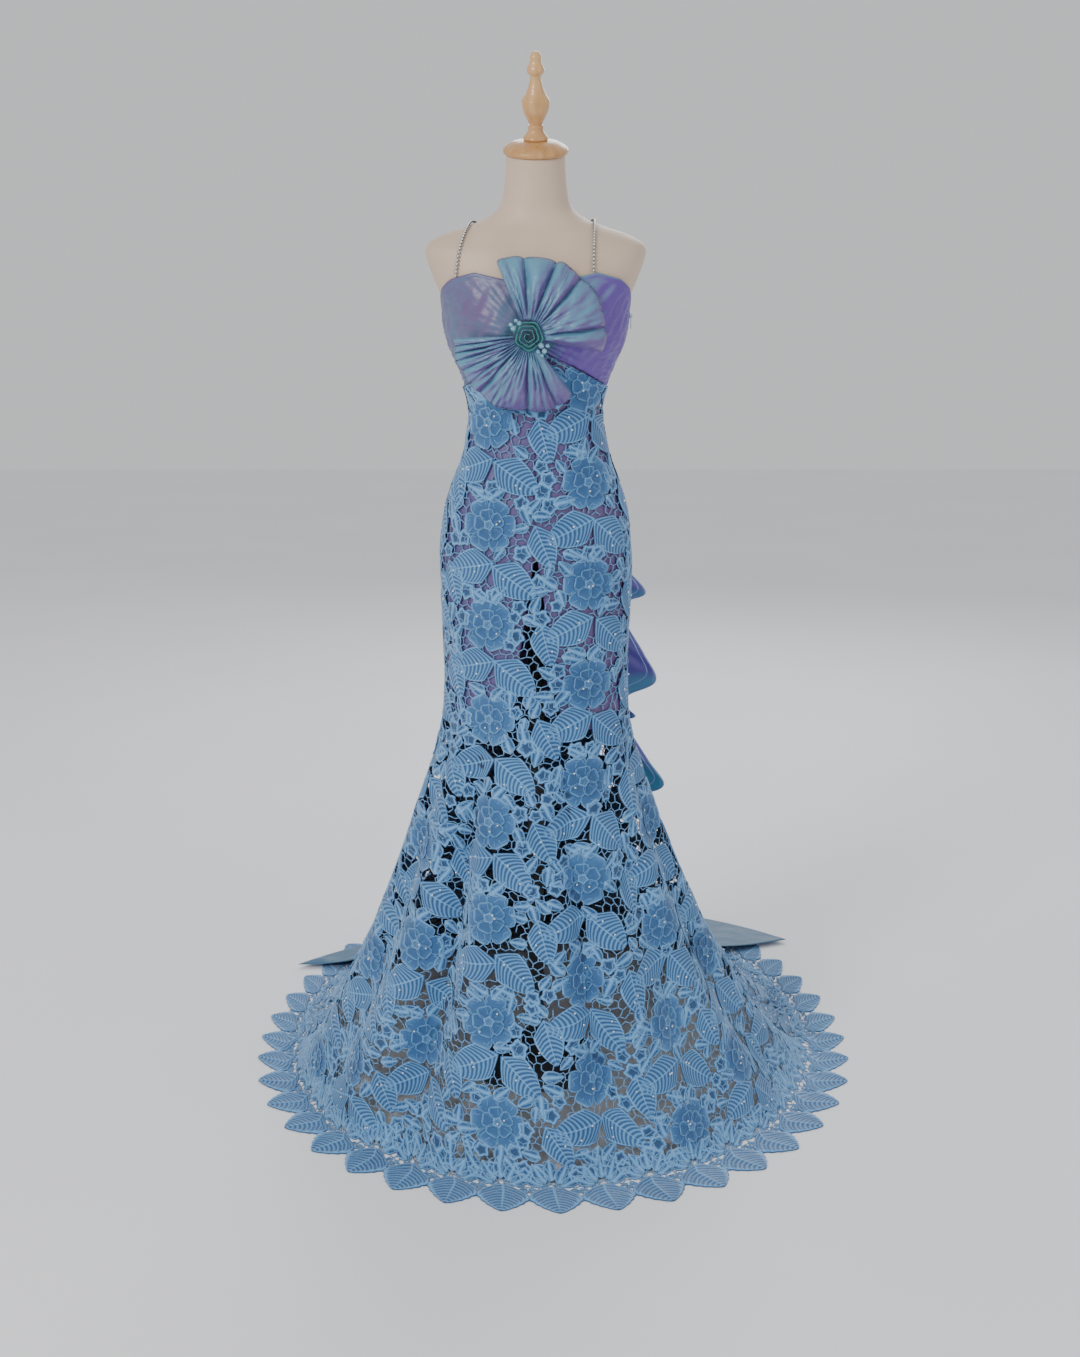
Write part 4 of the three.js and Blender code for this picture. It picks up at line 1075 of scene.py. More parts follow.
@dataclass
class LacePanel:
    """A panel of the lace skirt, worked out flat and then laid on the figure.

    Flat, x runs round the body from the panel's middle, y runs up from its top, and the third value is the
    height over the figure. A panel covers one or more gores, and its motifs run on from gore to gore.
    """

    gores: tuple
    start: float
    across: float
    down: float
    seed: int

    GORE = 60.0
    TOP_Z = 1300.0
    ROWS = 240
    NET_AT, MOTIF_AT = 4.2, 4.5
    CELL, JITTER, LEFT_OUT = 15.0, 0.48, 0.1
    NET_WIDTH, CORD_WIDTH = 2.0, 2.4
    FILLER_PITCH, STAR_SHARE = 27.0, 0.4
    SEAM_GAP = 0.5
    SCALLOPS, SCALLOP_REACH, BORDER = 7, 60.0, 52.0
    EDGE_GAP = 0.8
    NEAR, ROW_STEP = 50.0, 0.866
    BEAD_SPREAD, BEAD_LIFT, BEAD_SIZE = 20, 3.4, 1.9
    # Coils in a scallop: side, across, up and size
    COILS = ((-1, 16, 27, 11), (1, 16, 27, 11), (-1, 34, 5, 7), (1, 34, 5, 7))
    # Small leaves over a scallop: degrees and reach
    FAN = ((35, 36), (62, 40), (90, 42), (118, 40), (145, 36))

    def __post_init__(self) -> None:
        """Works out the flat layout's tables from the figure."""
        top = float(FIGURE.place_at(self.TOP_Z))
        self.places = np.linspace(top, FIGURE.last, self.ROWS)
        self.half_angle = self.GORE * len(self.gores) / 2
        self.middle = self.start + self.half_angle
        self.columns = 60 * len(self.gores) + 1
        turns = np.linspace(-self.half_angle, self.half_angle, self.columns) * DEG
        place, turn = np.meshgrid(self.places, self.middle * DEG + turns, indexing="ij")
        points = FIGURE.point(place, turn).reshape(self.ROWS, self.columns, 3)
        steps = np.linalg.norm(np.diff(points, axis=1), axis=2)
        run = np.concatenate([np.zeros((self.ROWS, 1)), np.cumsum(steps, axis=1)], axis=1)
        self.half = run[:, -1] / 2
        shares = np.linspace(-1, 1, self.columns)
        self.turns = np.stack([np.interp(shares, r / h - 1, turns) for r, h in zip(run, self.half)])
        middle = points[:, self.columns // 2]
        drops = np.linalg.norm(np.diff(middle, axis=0), axis=1)
        self.lengths = np.concatenate([[0], np.cumsum(drops)])
        self.total = float(self.lengths[-1])
        self.motifs = self.lay_motifs()
        self.strew_fillers()

    def half_at(self, y: np.ndarray) -> np.ndarray:
        """Half the panel's width at y."""
        return np.interp(-np.asarray(y, float), self.lengths, self.half)

    def locate(self, x: np.ndarray, y: np.ndarray) -> tuple[np.ndarray, np.ndarray, np.ndarray]:
        """The place and angle under a flat point, and how far it lies beyond the last row.

        Args:
            x: flat points' x.
            y: flat points' y.

        Returns:
            The place, the angle and the distance beyond.
        """
        row = np.interp(-y, self.lengths, np.arange(self.ROWS))
        k = np.clip(np.floor(row).astype(int), 0, self.ROWS - 2)
        f = row - k
        half = self.half[k] * (1 - f) + self.half[k + 1] * f
        limit = 1 - self.SEAM_GAP / half
        share = (np.clip(x / half, -limit, limit) + 1) / 2 * (self.columns - 1)
        c = np.clip(np.floor(share).astype(int), 0, self.columns - 2)
        g = share - c
        upper = self.turns[k, c] * (1 - g) + self.turns[k, c + 1] * g
        lower = self.turns[k + 1, c] * (1 - g) + self.turns[k + 1, c + 1] * g
        angle = self.middle * DEG + upper * (1 - f) + lower * f
        place = self.places[k] * (1 - f) + self.places[k + 1] * f
        return place, angle, np.maximum(-y - self.total, 0)

    def on_body(self, flat: Points) -> Points:
        """Flat points laid on the figure, in millimetres.

        Args:
            flat: flat points, with their height.

        Returns:
            The points on the figure.
        """
        place, angle, beyond = self.locate(flat[:, 0], flat[:, 1])
        place = np.maximum(place, FIGURE.place_at(FIGURE.low_edge(angle) - self.EDGE_GAP))
        points = FIGURE.offset(place, angle, flat[:, 2])
        last = np.full(len(flat), FIGURE.last)
        out = FIGURE.point(last, angle) - FIGURE.point(last - 0.5, angle)
        out[:, 2] = 0
        out /= np.linalg.norm(out, axis=1)[:, None]
        points += out * beyond[:, None]
        points[:, 2] = np.maximum(points[:, 2], flat[:, 2] - 4.0)
        return points

    def inside(self, x: np.ndarray, y: np.ndarray, border: float = 0.0) -> np.ndarray:
        """Whether flat points lie on the panel, or outside it by no more than the border."""
        place, angle, _ = self.locate(x, y)
        below = place > FIGURE.place_at(FIGURE.low_edge(angle) - self.EDGE_GAP)
        return below & (np.abs(x) < self.half_at(y) + border) & (-y < self.total + self.SCALLOP_REACH * 0.3)

    def owner(self, x: np.ndarray, y: np.ndarray) -> np.ndarray:
        """The number of the gore under flat points."""
        _, angle, _ = self.locate(x, y)
        gore = np.floor((angle / DEG - self.start) / self.GORE).astype(int)
        return np.clip(gore, 0, len(self.gores) - 1)

    def lay_motifs(self) -> dict[Motif, Points]:
        """Repeats the pattern over the panel, in columns that are stepped against each other.

        Returns:
            For each kind of motif, rows of across, up, turn and size.
        """
        p = PATTERN
        column, row = np.meshgrid(np.arange(-7, 8), np.arange(-3, 13), indexing="ij")
        x0 = (self.across + column * p.width).ravel()
        y0 = (-self.down - (row + np.mod(p.column_step * column, 1)) * p.height).ravel()
        rng = np.random.default_rng(self.seed)
        laid: dict[Motif, Points] = {kind: np.zeros((0, 4)) for kind in Motif}
        for kind, x, y, turn, size in p.motifs:
            here, up = x0 + x + rng.uniform(-4, 4, x0.shape), y0 - y + rng.uniform(-4, 4, x0.shape)
            large = kind in (Motif.LEAF, Motif.ROSE, Motif.SIDE_LEAF)
            keep = self.inside(here, up, 14.0 if large else 0.0)
            keep &= -up < self.total - (self.BORDER + 14 if large else self.BORDER - 12)
            turns = turn * DEG + rng.uniform(-0.16, 0.16, x0.shape)
            rows = np.stack([here, up, turns, np.full(x0.shape, size)], axis=1)[keep]
            laid[kind] = np.concatenate([laid[kind], rows])
        return laid

    def strew_fillers(self) -> None:
        """Fills the ground between the leaves and the roses with sprigs and stars."""
        rng, pitch = np.random.default_rng(self.seed + 20), self.FILLER_PITCH
        reach, rows = int(self.half.max() / pitch) + 2, int(self.total / pitch / 0.8) + 2
        column, row = np.meshgrid(np.arange(-reach, reach + 1), np.arange(rows), indexing="ij")
        x = (column + 0.5 * np.mod(row, 2) + rng.uniform(-0.3, 0.3, row.shape)).ravel() * pitch
        y = -(row + rng.uniform(-0.3, 0.3, row.shape)).ravel() * pitch * 0.8
        keep = self.inside(x, y, -4) & (-y < self.total - self.BORDER + 8) & ~self.covered(x, y, -7)
        x, y = x[keep], y[keep]
        turns, size = rng.uniform(0, math.tau, x.shape), rng.uniform(0.85, 1.2, x.shape)
        fillers = np.stack([x, y, turns, size], axis=1)
        starry = rng.uniform(size=len(x)) < self.STAR_SHARE
        for kind, chosen in ((Motif.STAR, starry), (Motif.SPRIG, ~starry)):
            self.motifs[kind] = np.concatenate([self.motifs[kind], fillers[chosen]])

    def covered(self, x: np.ndarray, y: np.ndarray, border: float = 3.0) -> np.ndarray:
        """Whether flat points lie under a leaf or a rose, inside its outline by at least the border.

        Args:
            x: flat points' x.
            y: flat points' y.
            border: how far inside.

        Returns:
            A truth value for each point.
        """
        hidden = np.zeros(x.shape, bool)
        for kind, blade in ((Motif.LEAF, LEAF), (Motif.SIDE_LEAF, SIDE_LEAF), (Motif.ROSE, None)):
            for cx, cy, turn, size in self.motifs[kind]:
                near = (np.abs(x - cx) < self.NEAR) & (np.abs(y - cy) < self.NEAR)
                dx, dy = (x[near] - cx) / size, (y[near] - cy) / size
                if blade is None:
                    hidden[near] |= np.hypot(dx, dy) < PATTERN.rose_cover + 3 - border
                    continue
                c, s = math.cos(turn), math.sin(turn)
                hidden[near] |= blade.covers(dx * c + dy * s, dy * c - dx * s, border)
        return hidden

    def net(self) -> tuple[Points, Points]:
        """The ends of the bars of an uneven net of six-sided cells.

        Returns:
            The flat start and end of each bar.
        """
        rng = np.random.default_rng(self.seed)
        cell = self.CELL
        widest = float(self.half.max()) + cell
        deep = int((self.total + self.SCALLOP_REACH) / cell / self.ROW_STEP) + 4
        wide = int(widest / cell + deep / 2) + 4
        q, r = np.meshgrid(np.arange(-wide, wide), np.arange(-4, deep), indexing="ij")
        centre = np.stack([cell * (q + r / 2.0), -cell * self.ROW_STEP * r], axis=2)
        centre += rng.uniform(-self.JITTER, self.JITTER, centre.shape) * cell
        up = (centre[:-1, :-1] + centre[1:, :-1] + centre[:-1, 1:]) / 3
        down = (centre[1:, :-1] + centre[1:, 1:] + centre[:-1, 1:]) / 3
        starts = [up, up[1:, :], up[:, 1:]]
        ends = [down, down[:-1, :], down[:, :-1]]
        start = np.concatenate([s.reshape(-1, 2) for s in starts])
        end = np.concatenate([e.reshape(-1, 2) for e in ends])
        keep = (np.abs(start[:, 0]) < widest) & (rng.uniform(size=len(start)) > self.LEFT_OUT)
        start, end = start[keep], end[keep]
        first, second = self.inside(start[:, 0], start[:, 1]), self.inside(end[:, 0], end[:, 1])
        under = self.covered(start[:, 0], start[:, 1]) & self.covered(end[:, 0], end[:, 1])
        keep = (first | second) & ~under
        return start[keep], end[keep]

    def scallop_middles(self) -> np.ndarray:
        """The x of the middle of each scallop of the hem."""
        count = self.SCALLOPS * len(self.gores)
        return (2 * np.arange(count) + 1 - count) * self.half[-1] / count

    def cords(self) -> tuple[Points, Points]:
        """The ends of the bars of the cords along the seams and the top, and of the hem's coils.

        Returns:
            The bars' starts and their ends.
        """
        lines = []
        depth = np.arange(0, self.total, 9.0)
        for side in (-1, 1):
            lines.append(np.stack([side * (self.half_at(-depth) - 1.2), -depth], axis=1))
        share = np.linspace(-1, 1, 18 * len(self.gores) + 1)
        angle = (self.middle + self.half_angle * share) * DEG
        edge = np.interp(FIGURE.place_at(FIGURE.low_edge(angle) - 3), self.places, self.lengths)
        lines.append(np.stack([share * self.half_at(-edge), -edge], axis=1))
        turn = np.linspace(0, 1, 15)
        for middle in self.scallop_middles():
            for side, across, up, size in self.COILS:
                radius, round_it = 2 + size * turn, side * 2.1 * math.tau * turn
                x = middle + side * across + radius * np.sin(round_it)
                lines.append(np.stack([x, -self.total + up + radius * np.cos(round_it)], axis=1))
        start = np.concatenate([line[:-1] for line in lines])
        end = np.concatenate([line[1:] for line in lines])
        keep = self.inside(start[:, 0], start[:, 1], 1.0) | self.inside(end[:, 0], end[:, 1], 1.0)
        return start[keep], end[keep]

    def ring(self, rows: Points, count: int, reach: float, turn: float = 0.0) -> Points:
        """Rows for blades set in a ring round each of the given rows.

        Args:
            rows: what stands in the middles.
            count: blades in a ring.
            reach: distance from the middle.
            turn: turn of the first blade.

        Returns:
            The ring's rows.
        """
        made = []
        for i in range(count):
            angle = rows[:, 2] + turn + math.tau * i / count
            x = rows[:, 0] + reach * rows[:, 3] * np.cos(angle)
            y = rows[:, 1] + reach * rows[:, 3] * np.sin(angle)
            made.append(np.stack([x, y, angle, rows[:, 3]], axis=1))
        return np.concatenate(made)

    def hem_rows(self) -> dict[str, Points]:
        """Rows of the hem's leaves, and of the fans of small leaves and the stars above them.

        Returns:
            The rows for each name of blade.
        """
        middles = self.scallop_middles()
        many = len(middles)
        leaf_y = -self.total - self.SCALLOP_REACH + HEM_LEAF.length / 2
        leaves = np.column_stack([middles, np.full(many, leaf_y), np.full(many, -math.pi / 2), np.ones(many)])
        fans = []
        for degrees, reach in self.FAN:
            turn = degrees * DEG
            x, y = middles + reach * math.cos(turn), -self.total + 12 + reach * math.sin(turn)
            rows = [x, np.broadcast_to(y, x.shape), np.full(many, turn), np.full(many, 1.15)]
            fans.append(np.column_stack(rows))
        step = middles[1] - middles[0]
        stars = np.column_stack([middles + step / 2, np.full(many, -self.total + 44), np.full(many, 0.3),
                                 np.ones(many)])
        return {"hem": leaves, "sprig": np.concatenate(fans), "star": stars}

    def blades(self) -> list[tuple[str, Points, float]]:
        """The name, rows and lift of every kind of blade on the panel.

        Returns:
            Each kind's name, rows and lift.
        """
        roses = self.motifs[Motif.ROSE]
        hem = self.hem_rows()
        stars = np.concatenate([self.motifs[Motif.STAR], hem["star"]])
        made = [("leaf", self.motifs[Motif.LEAF], 0.0), ("side_leaf", self.motifs[Motif.SIDE_LEAF], 0.0),
                ("sprig", np.concatenate([self.motifs[Motif.SPRIG], hem["sprig"]]), -0.4),
                ("star", stars, -0.1), ("heart", roses, 1.2), ("hem", hem["hem"], -0.3)]
        for name, count, reach, turn, lift in PATTERN.rose:
            made.append((name, self.ring(roses, count, reach, turn), lift))
        return made

    def build(self, shapes: dict[str, Shape], beads: MeshParts) -> list[bpy.types.Object]:
        """Builds the panel's gores and adds its beads.

        Args:
            shapes: the blades' shapes by name.
            beads: where the beads are gathered, in body coordinates.

        Returns:
            An object for each gore.
        """
        gathered = [MeshParts() for _ in self.gores]
        for ends, width in ((self.net(), self.NET_WIDTH), (self.cords(), self.CORD_WIDTH)):
            start, end = (np.column_stack([e, np.full(len(e), self.NET_AT)]) for e in ends)
            owner = self.owner((start[:, 0] + end[:, 0]) / 2, (start[:, 1] + end[:, 1]) / 2)
            for number, parts in enumerate(gathered):
                mine = owner == number
                parts.add(NET_BAR, NET_BAR.stretched(start[mine], end[mine], width))
        for name, rows, lift in self.blades():
            owner = self.owner(rows[:, 0], rows[:, 1])
            for number, parts in enumerate(gathered):
                mine = rows[owner == number]
                high = np.full(len(mine), self.MOTIF_AT + lift)
                parts.add(shapes[name], shapes[name].laid(*mine.T, high))
        made = []
        for gore, parts in zip(self.gores, gathered):
            piece = parts.mesh(gore + "_guipure", lambda flat: self.on_body(flat) * MM)
            WARDROBE.dress(piece, LACE)
            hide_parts(gore)
            made.append(piece)
        self.add_beads(beads)
        return made

    def add_beads(self, beads: MeshParts) -> None:
        """Adds clear beads near the middles of the leaves and roses.

        Args:
            beads: gathers the beads.
        """
        rng = np.random.default_rng(self.seed + 50)
        rows = np.concatenate([self.motifs[kind] for kind in (Motif.LEAF, Motif.SIDE_LEAF, Motif.ROSE)])
        spots = np.concatenate([rows[:, :2], rows[:, :2]])
        spots += rng.uniform(-self.BEAD_SPREAD, self.BEAD_SPREAD, spots.shape)
        spots = spots[self.inside(spots[:, 0], spots[:, 1], -3)]
        flat = np.column_stack([spots, np.full(len(spots), self.MOTIF_AT + self.BEAD_LIFT)])
        beads.add(BEAD, self.on_body(flat)[:, None] + BEAD.points[None] * self.BEAD_SIZE)


@dataclass
class LaceSkirt:
    """The lace skirt's six gores in two panels, and the clear beads sewn on them."""

    # Gores, first angle, and the motifs' shift across and down
    panels: tuple = (
        (("lace_side_front_left", "lace_front", "lace_side_front_right"), -90, -68, 40),
        (("lace_side_back_right", "lace_back", "lace_side_back_left"), 90, 0, 62),
    )
    star_radius: float = 13.5
    heart_radius: float = 9.0
    # Gore, its cut's width at the hem and length, and the cut's area in square metres. The cut has the
    # hem's scallops and 10 mm to sew in at each seam.
    cuts: tuple = (
        ("lace_front", 550, 1473, 0.386), ("lace_side_front_right", 609, 1423, 0.362),
        ("lace_side_back_right", 688, 1542, 0.432), ("lace_back", 562, 1659, 0.466),
        ("lace_side_back_left", 688, 1519, 0.414), ("lace_side_front_left", 609, 1395, 0.355),
    )

    def build(self) -> list[bpy.types.Object]:
        """Builds the gores and their beads.

        Returns:
            The pieces.
        """
        blades = {"leaf": LEAF, "side_leaf": SIDE_LEAF, "petal": PETAL, "inner": INNER_PETAL,
                  "sprig": SPRIG, "hem": HEM_LEAF}
        shapes = {name: blade.shape() for name, blade in blades.items()}
        shapes |= {"star": blossom_shape(self.star_radius), "heart": blossom_shape(self.heart_radius)}
        for name, shape in shapes.items():
            LOG.info("blade %s: %d triangles", name, int((shape.totals - 2).sum()))
        beads, made = MeshParts(), []
        for seed, (gores, start, across, down) in enumerate(self.panels):
            made += LacePanel(gores, start, across, down, seed + 1).build(shapes, beads)
        for name, wide, long, area in self.cuts:
            piece = frame_node(name + "_guipure")
        piece = beads.mesh("lace_beads", lambda points: points * MM, uv=False)
        WARDROBE.dress(piece, CLEAR_STONE)
        made.append(piece)
        return made


# Cloth panels of the bodice, slip, flower, cascade and train

def flower_polar(x: np.ndarray, z: np.ndarray) -> tuple[np.ndarray, np.ndarray]:
    """The turn and distance of places from the flower's middle, seen from the front."""
    return np.arctan2(z - FLOWER_Z, x - FLOWER_X), np.hypot(x - FLOWER_X, z - FLOWER_Z)


@dataclass
class Bodice:
    """The strapless bodice: two cups gathered towards the flower, and a smooth back."""

    outer: float = 2.1
    wall: float = 0.7
    gathers: int = 38
    gather_height: float = 1.9
    hem_band: float = 8.0

    def relief(self, points: Points, angle: np.ndarray, below_top: np.ndarray) -> np.ndarray:
        """How far the cloth stands out at points of the cups, by its gathers and wrinkles.

        Args:
            points: points of the cup.
            angle: radians round the body.
            below_top: distance under the top edge.

        Returns:
            How far out each point stands.
        """
        turn, away = flower_polar(points[:, 0], points[:, 2])
        wave = turn * self.gathers / 2 + 1.1 * np.sin(turn * 5 + 1) + 0.5 * np.sin(turn * 11)
        crease = np.abs(np.sin(wave)) ** 0.7
        gather = self.gather_height * crease * bell(away, 150) * smoothstep(0, 16, below_top)
        side = smoothstep(38 * DEG, 62 * DEG, np.abs(angle))
        zigzag = points[:, 2] / 9.5 * math.tau + 2.2 * np.sin(angle * 9) + 1.3 * np.sin(angle * 23)
        wrinkle = 0.75 * np.sin(zigzag) * (0.6 + 0.4 * np.sin(points[:, 2] / 31 + angle * 5)) * side
        soft = 1.3 * ripple(angle * 3.2, points[:, 2] / 45, 3)
        return gather + (wrinkle + soft) * smoothstep(4, 22, below_top)

    def band(self, below_top: np.ndarray, above_low: np.ndarray) -> np.ndarray:
        """The turned top edge, and the seam where the bodice meets the lace."""
        rolled = 0.8 * bell(below_top - 2.5, 3.5) - 0.45 * bell(below_top - self.hem_band, 1.3)
        return rolled + 0.5 * bell(above_low, 2.5)

    def panel(self, name: str, start: float, end: float, finish: Finish, size: tuple) -> bpy.types.Object:
        """Builds a panel.

        Args:
            name: the node that it replaces.
            start: its first angle in degrees.
            end: its last angle in degrees.
            finish: what it is made of.
            size: the cut's width and length in millimetres.

        Returns:
            The panel.
        """
        def at(u: np.ndarray, v: np.ndarray) -> Points:
            """Points of the panel's outer face, in millimetres."""
            angle = (start + (end - start) * u) * DEG
            top, low = FIGURE.top_edge(angle), FIGURE.low_edge(angle)
            z = top + (low - top) * v
            place = FIGURE.place_at(z)
            points = FIGURE.offset(place, angle, self.outer)
            front = np.cos(angle) > 0
            relief = np.where(front, self.relief(points, angle, top - z), 0.7 * ripple(angle * 3, z / 60, 8))
            return FIGURE.offset(place, angle, self.outer + relief + self.band(top - z, z - low))

        columns = int(88 * math.sqrt(90 / abs(end - start)))
        cloth = Cloth(name + "_taffeta", columns, 56, *size, self.wall)
        piece = cloth.make(at, finish)
        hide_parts(name)
        return piece

    def build(self) -> list[bpy.types.Object]:
        """Builds the three panels.

        Returns:
            The pieces.
        """
        gap = 0.1
        return [
            self.panel("bodice_cup_right", gap, 90 - gap, TAFFETA_SIDE, (260, 165)),
            self.panel("bodice_cup_left", -90 + gap, -gap, TAFFETA, (260, 165)),
            self.panel("bodice_back", 90 + gap, 270 - gap, TAFFETA_BACK, (430, 125)),
        ]


@dataclass
class Slip:
    """The taffeta slip under the lace, whose front is open in a slit."""

    outer: float = 1.7
    wall: float = 0.6
    slit_top: float = 968.0
    slit_half: float = 46.0
    hem: float = 660.0

    def panel(self, name: str, start: float, end: float, slit_side: int, size: tuple) -> bpy.types.Object:
        """Builds a panel between two angles in degrees; slit_side is the way that its slit opens.

        Args:
            name: the piece's name.
            start: first angle in degrees.
            end: last angle in degrees.
            slit_side: -1, 0 or 1.
            size: the cut's width and length.

        Returns:
            The panel.
        """
        def at(u: np.ndarray, v: np.ndarray) -> Points:
            """Points of the panel's outer face, in millimetres."""
            angle = (start + (end - start) * u) * DEG
            top = FIGURE.low_edge(angle) - 0.5
            z = top + (self.hem - top) * v
            place = FIGURE.place_at(z)
            half = along_rows(FIGURE.rows, place)[:, 1]
            towards = {1: 1 - u, -1: u, 0: 0 * u}[slit_side]
            opened = np.clip((self.slit_top - z) / (self.slit_top - self.hem), 0, 1)
            angle = angle + slit_side * opened * self.slit_half * towards / half
            hem_band = 0.3 * smoothstep(self.hem + 22, self.hem + 18, z)
            soft = 0.25 * ripple(angle * 2.5, z / 130, 5)
            return FIGURE.offset(place, angle, self.outer + soft + hem_band)

        columns = int(abs(end - start) * 0.35)
        piece = Cloth(name + "_taffeta", columns, 60, *size, self.wall).make(at, SLIP_SILK)
        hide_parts(name)
        return piece

    def build(self) -> list[bpy.types.Object]:
        """Builds the two fronts and the back.

        Returns:
            The pieces.
        """
        gap = 0.14
        return [
            self.panel("slip_front_right", gap, 90 - gap, 1, (215, 620)),
            self.panel("slip_front_left", -90 + gap, -gap, -1, (215, 620)),
            self.panel("slip_back", 90 + gap, 270 - gap, 0, (460, 590)),
        ]


@dataclass
class Wing:
    """A gathered wing of the flower: one strip, folded over at its rim and pleated into the middle."""

    name: str
    folds: tuple
    core: float
    radius: float
    lift: float
    size: tuple
    seed: int

    STEPS_A_LOBE, ROWS = 12, 44
    WALL = 0.6
    FRONT_Y, DOME_FALL = -136.1, 0.0022

    def base(self, x: np.ndarray, z: np.ndarray) -> np.ndarray:
        """The y of the plane that the wing rises from."""
        _, away = flower_polar(x, z)
        dome = self.FRONT_Y + self.DOME_FALL * away * away
        return np.minimum(dome, FIGURE.front(x, z) - 3.9)

    def at(self, u: np.ndarray, v: np.ndarray) -> Points:
        """Points of the strip, from the middle over the rim and back.

        Args:
            u: share along the first side.
            v: share along the second side.

        Returns:
            The points in millimetres.
        """
        folds, deep = np.array(self.folds, float).T
        lobes = len(folds) - 1
        lobe = np.clip(np.floor(u * lobes).astype(int), 0, lobes - 1)
        t = u * lobes - lobe
        degrees = folds[lobe] + (folds[lobe + 1] - folds[lobe]) * t
        turn = degrees * DEG
        fold = deep[lobe] + (deep[lobe + 1] - deep[lobe]) * t
        puff = 1 - fold * (1 - np.sin(math.pi * np.clip(t, 0, 1)) ** (0.22 + 0.35 * fold))
        front = v < 0.5
        reach = np.where(front, v * 2, (1 - v) * 2)
        uneven = 1 + 0.022 * ripple(turn, 0 * turn, self.seed)
        rim = self.radius * (1 - 0.035 * (1 - puff)) * uneven
        lean = 0.035 * np.sin(turn * 7 + self.seed) * reach
        radius = self.core + (rim - self.core) * reach
        x = FLOWER_X + radius * np.cos(turn + lean)
        z = FLOWER_Z + radius * np.sin(turn + lean)
        full = self.lift * (1 + 0.14 * np.sin(turn * 5 + self.seed)) * puff
        full = full * (0.25 + 0.75 * smoothstep(0, 0.2, reach))
        swell = np.sin(np.minimum(1, reach * 1.1) * math.pi * 0.66) ** 0.85
        rolled = 1 - 0.55 * np.clip((reach - 0.8) / 0.2, 0, 1) ** 2.6
        high = np.where(front, full * swell * rolled, full * 0.41 * smoothstep(0.62, 1, reach))
        fine = np.sin(turn * 61 + 2.2 * np.sin(turn * 9 + self.seed))
        gather = (1.5 * np.exp(-reach / 0.32) + 0.35) * fine * np.minimum(1, reach * 8) * (1 - reach ** 6)
        crumple = 2.6 * ripple(turn * 4.5, reach * 2.2, self.seed + 9)
        crumple = crumple + 1.3 * ripple(turn * 11, reach * 5, self.seed + 4)
        high = high + np.where(front, (gather + crumple) * np.minimum(1, full / 8 + 0.15), 0)
        edge = np.where(front, 0.9, 0.1)
        return np.stack([x, self.base(x, z) - np.maximum(high, 0) - edge, z], axis=1)

    def build(self) -> bpy.types.Object:
        """Builds the wing.

        Returns:
            The piece.
        """
        columns = self.STEPS_A_LOBE * (len(self.folds) - 1)
        cloth = Cloth(self.name + "_taffeta", columns, self.ROWS, *self.size, self.WALL, facing=(0, -1, 0))
        piece = cloth.make(self.at, TAFFETA_WING)
        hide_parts(self.name)
        return piece


@dataclass
class Rose:
    """The rolled satin rose in the flower's middle, with its crystals."""

    turns: float = 3.4
    inner: float = 2.5
    outer: float = 23.4
    back: float = -131.1
    depth: float = 12.0
    size: tuple = (200, 25)
    wall: float = 0.6
    # The y of the crystals near the middle and of those farther out, and where the far ones begin
    crystal_y: tuple = (-148.5, -151.5)
    crystal_far: float = 26.0
    # Across and up from the flower's middle, and size
    crystals: tuple = (
        (-14, 21, 4.2), (-23, 13, 4.6), (-19, 25, 3.2), (-27, 19, 3.4), (21, -14, 4.6), (26, -22, 4.2),
        (16, -23, 3.4), (31, -14, 3.4), (22, -29, 3.0),
    )

    def at(self, u: np.ndarray, v: np.ndarray) -> Points:
        """Points of the strip, rolled into a five-sided spiral and turned out at its front edge.

        Args:
            u: share along the first side.
            v: share along the second side.

        Returns:
            The points in millimetres.
        """
        turn = u * self.turns * math.tau
        side = np.abs(np.mod(turn / math.tau * 5, 1) - 0.5) * 2
        corner = 1 - 0.1 * np.sin(side * math.pi / 2)
        front = 1 - v
        flare = 3.6 * front ** 2.2 * (0.25 + u) * (0.6 + 0.4 * (1 - side))
        radius = (self.inner + (self.outer - self.inner) * u ** 0.9) * corner + flare
        radius = np.minimum(radius, self.outer + 1.8)
        high = self.depth * front + 6.5 * front * (1 - u) - 1.4 * front ** 3 * (1 - side)
        x = FLOWER_X + radius * np.cos(turn + 0.4)
        z = FLOWER_Z + radius * np.sin(turn + 0.4)
        return np.stack([x, self.back - high, z], axis=1)

    def build(self) -> list[bpy.types.Object]:
        """Builds the rose and its crystals.

        Returns:
            The pieces.
        """
        cloth = Cloth("flower_rose_satin", 260, 12, *self.size, self.wall, facing=None)
        piece = cloth.make(self.at, ROSE_SATIN)
        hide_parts("flower_rose")
        gems = MeshParts()
        gem = stone_shape(8, 1.0, 0.55, 0.8)
        for x, z, size in self.crystals:
            y = self.crystal_y[math.hypot(x, z) >= self.crystal_far]
            spot = np.array([FLOWER_X + x, y, FLOWER_Z + z])
            facing = gem.points[:, [0, 2, 1]] * np.array([1, -1, 1]) * size
            gems.add(gem, (spot + facing)[None])
        crystals = gems.mesh("flower_crystals", lambda points: points * MM, uv=False)
        crystals.data.polygons.foreach_set("use_smooth", [False] * len(crystals.data.polygons))
        WARDROBE.dress(crystals, TEAL_STONE)
        return [piece, crystals]


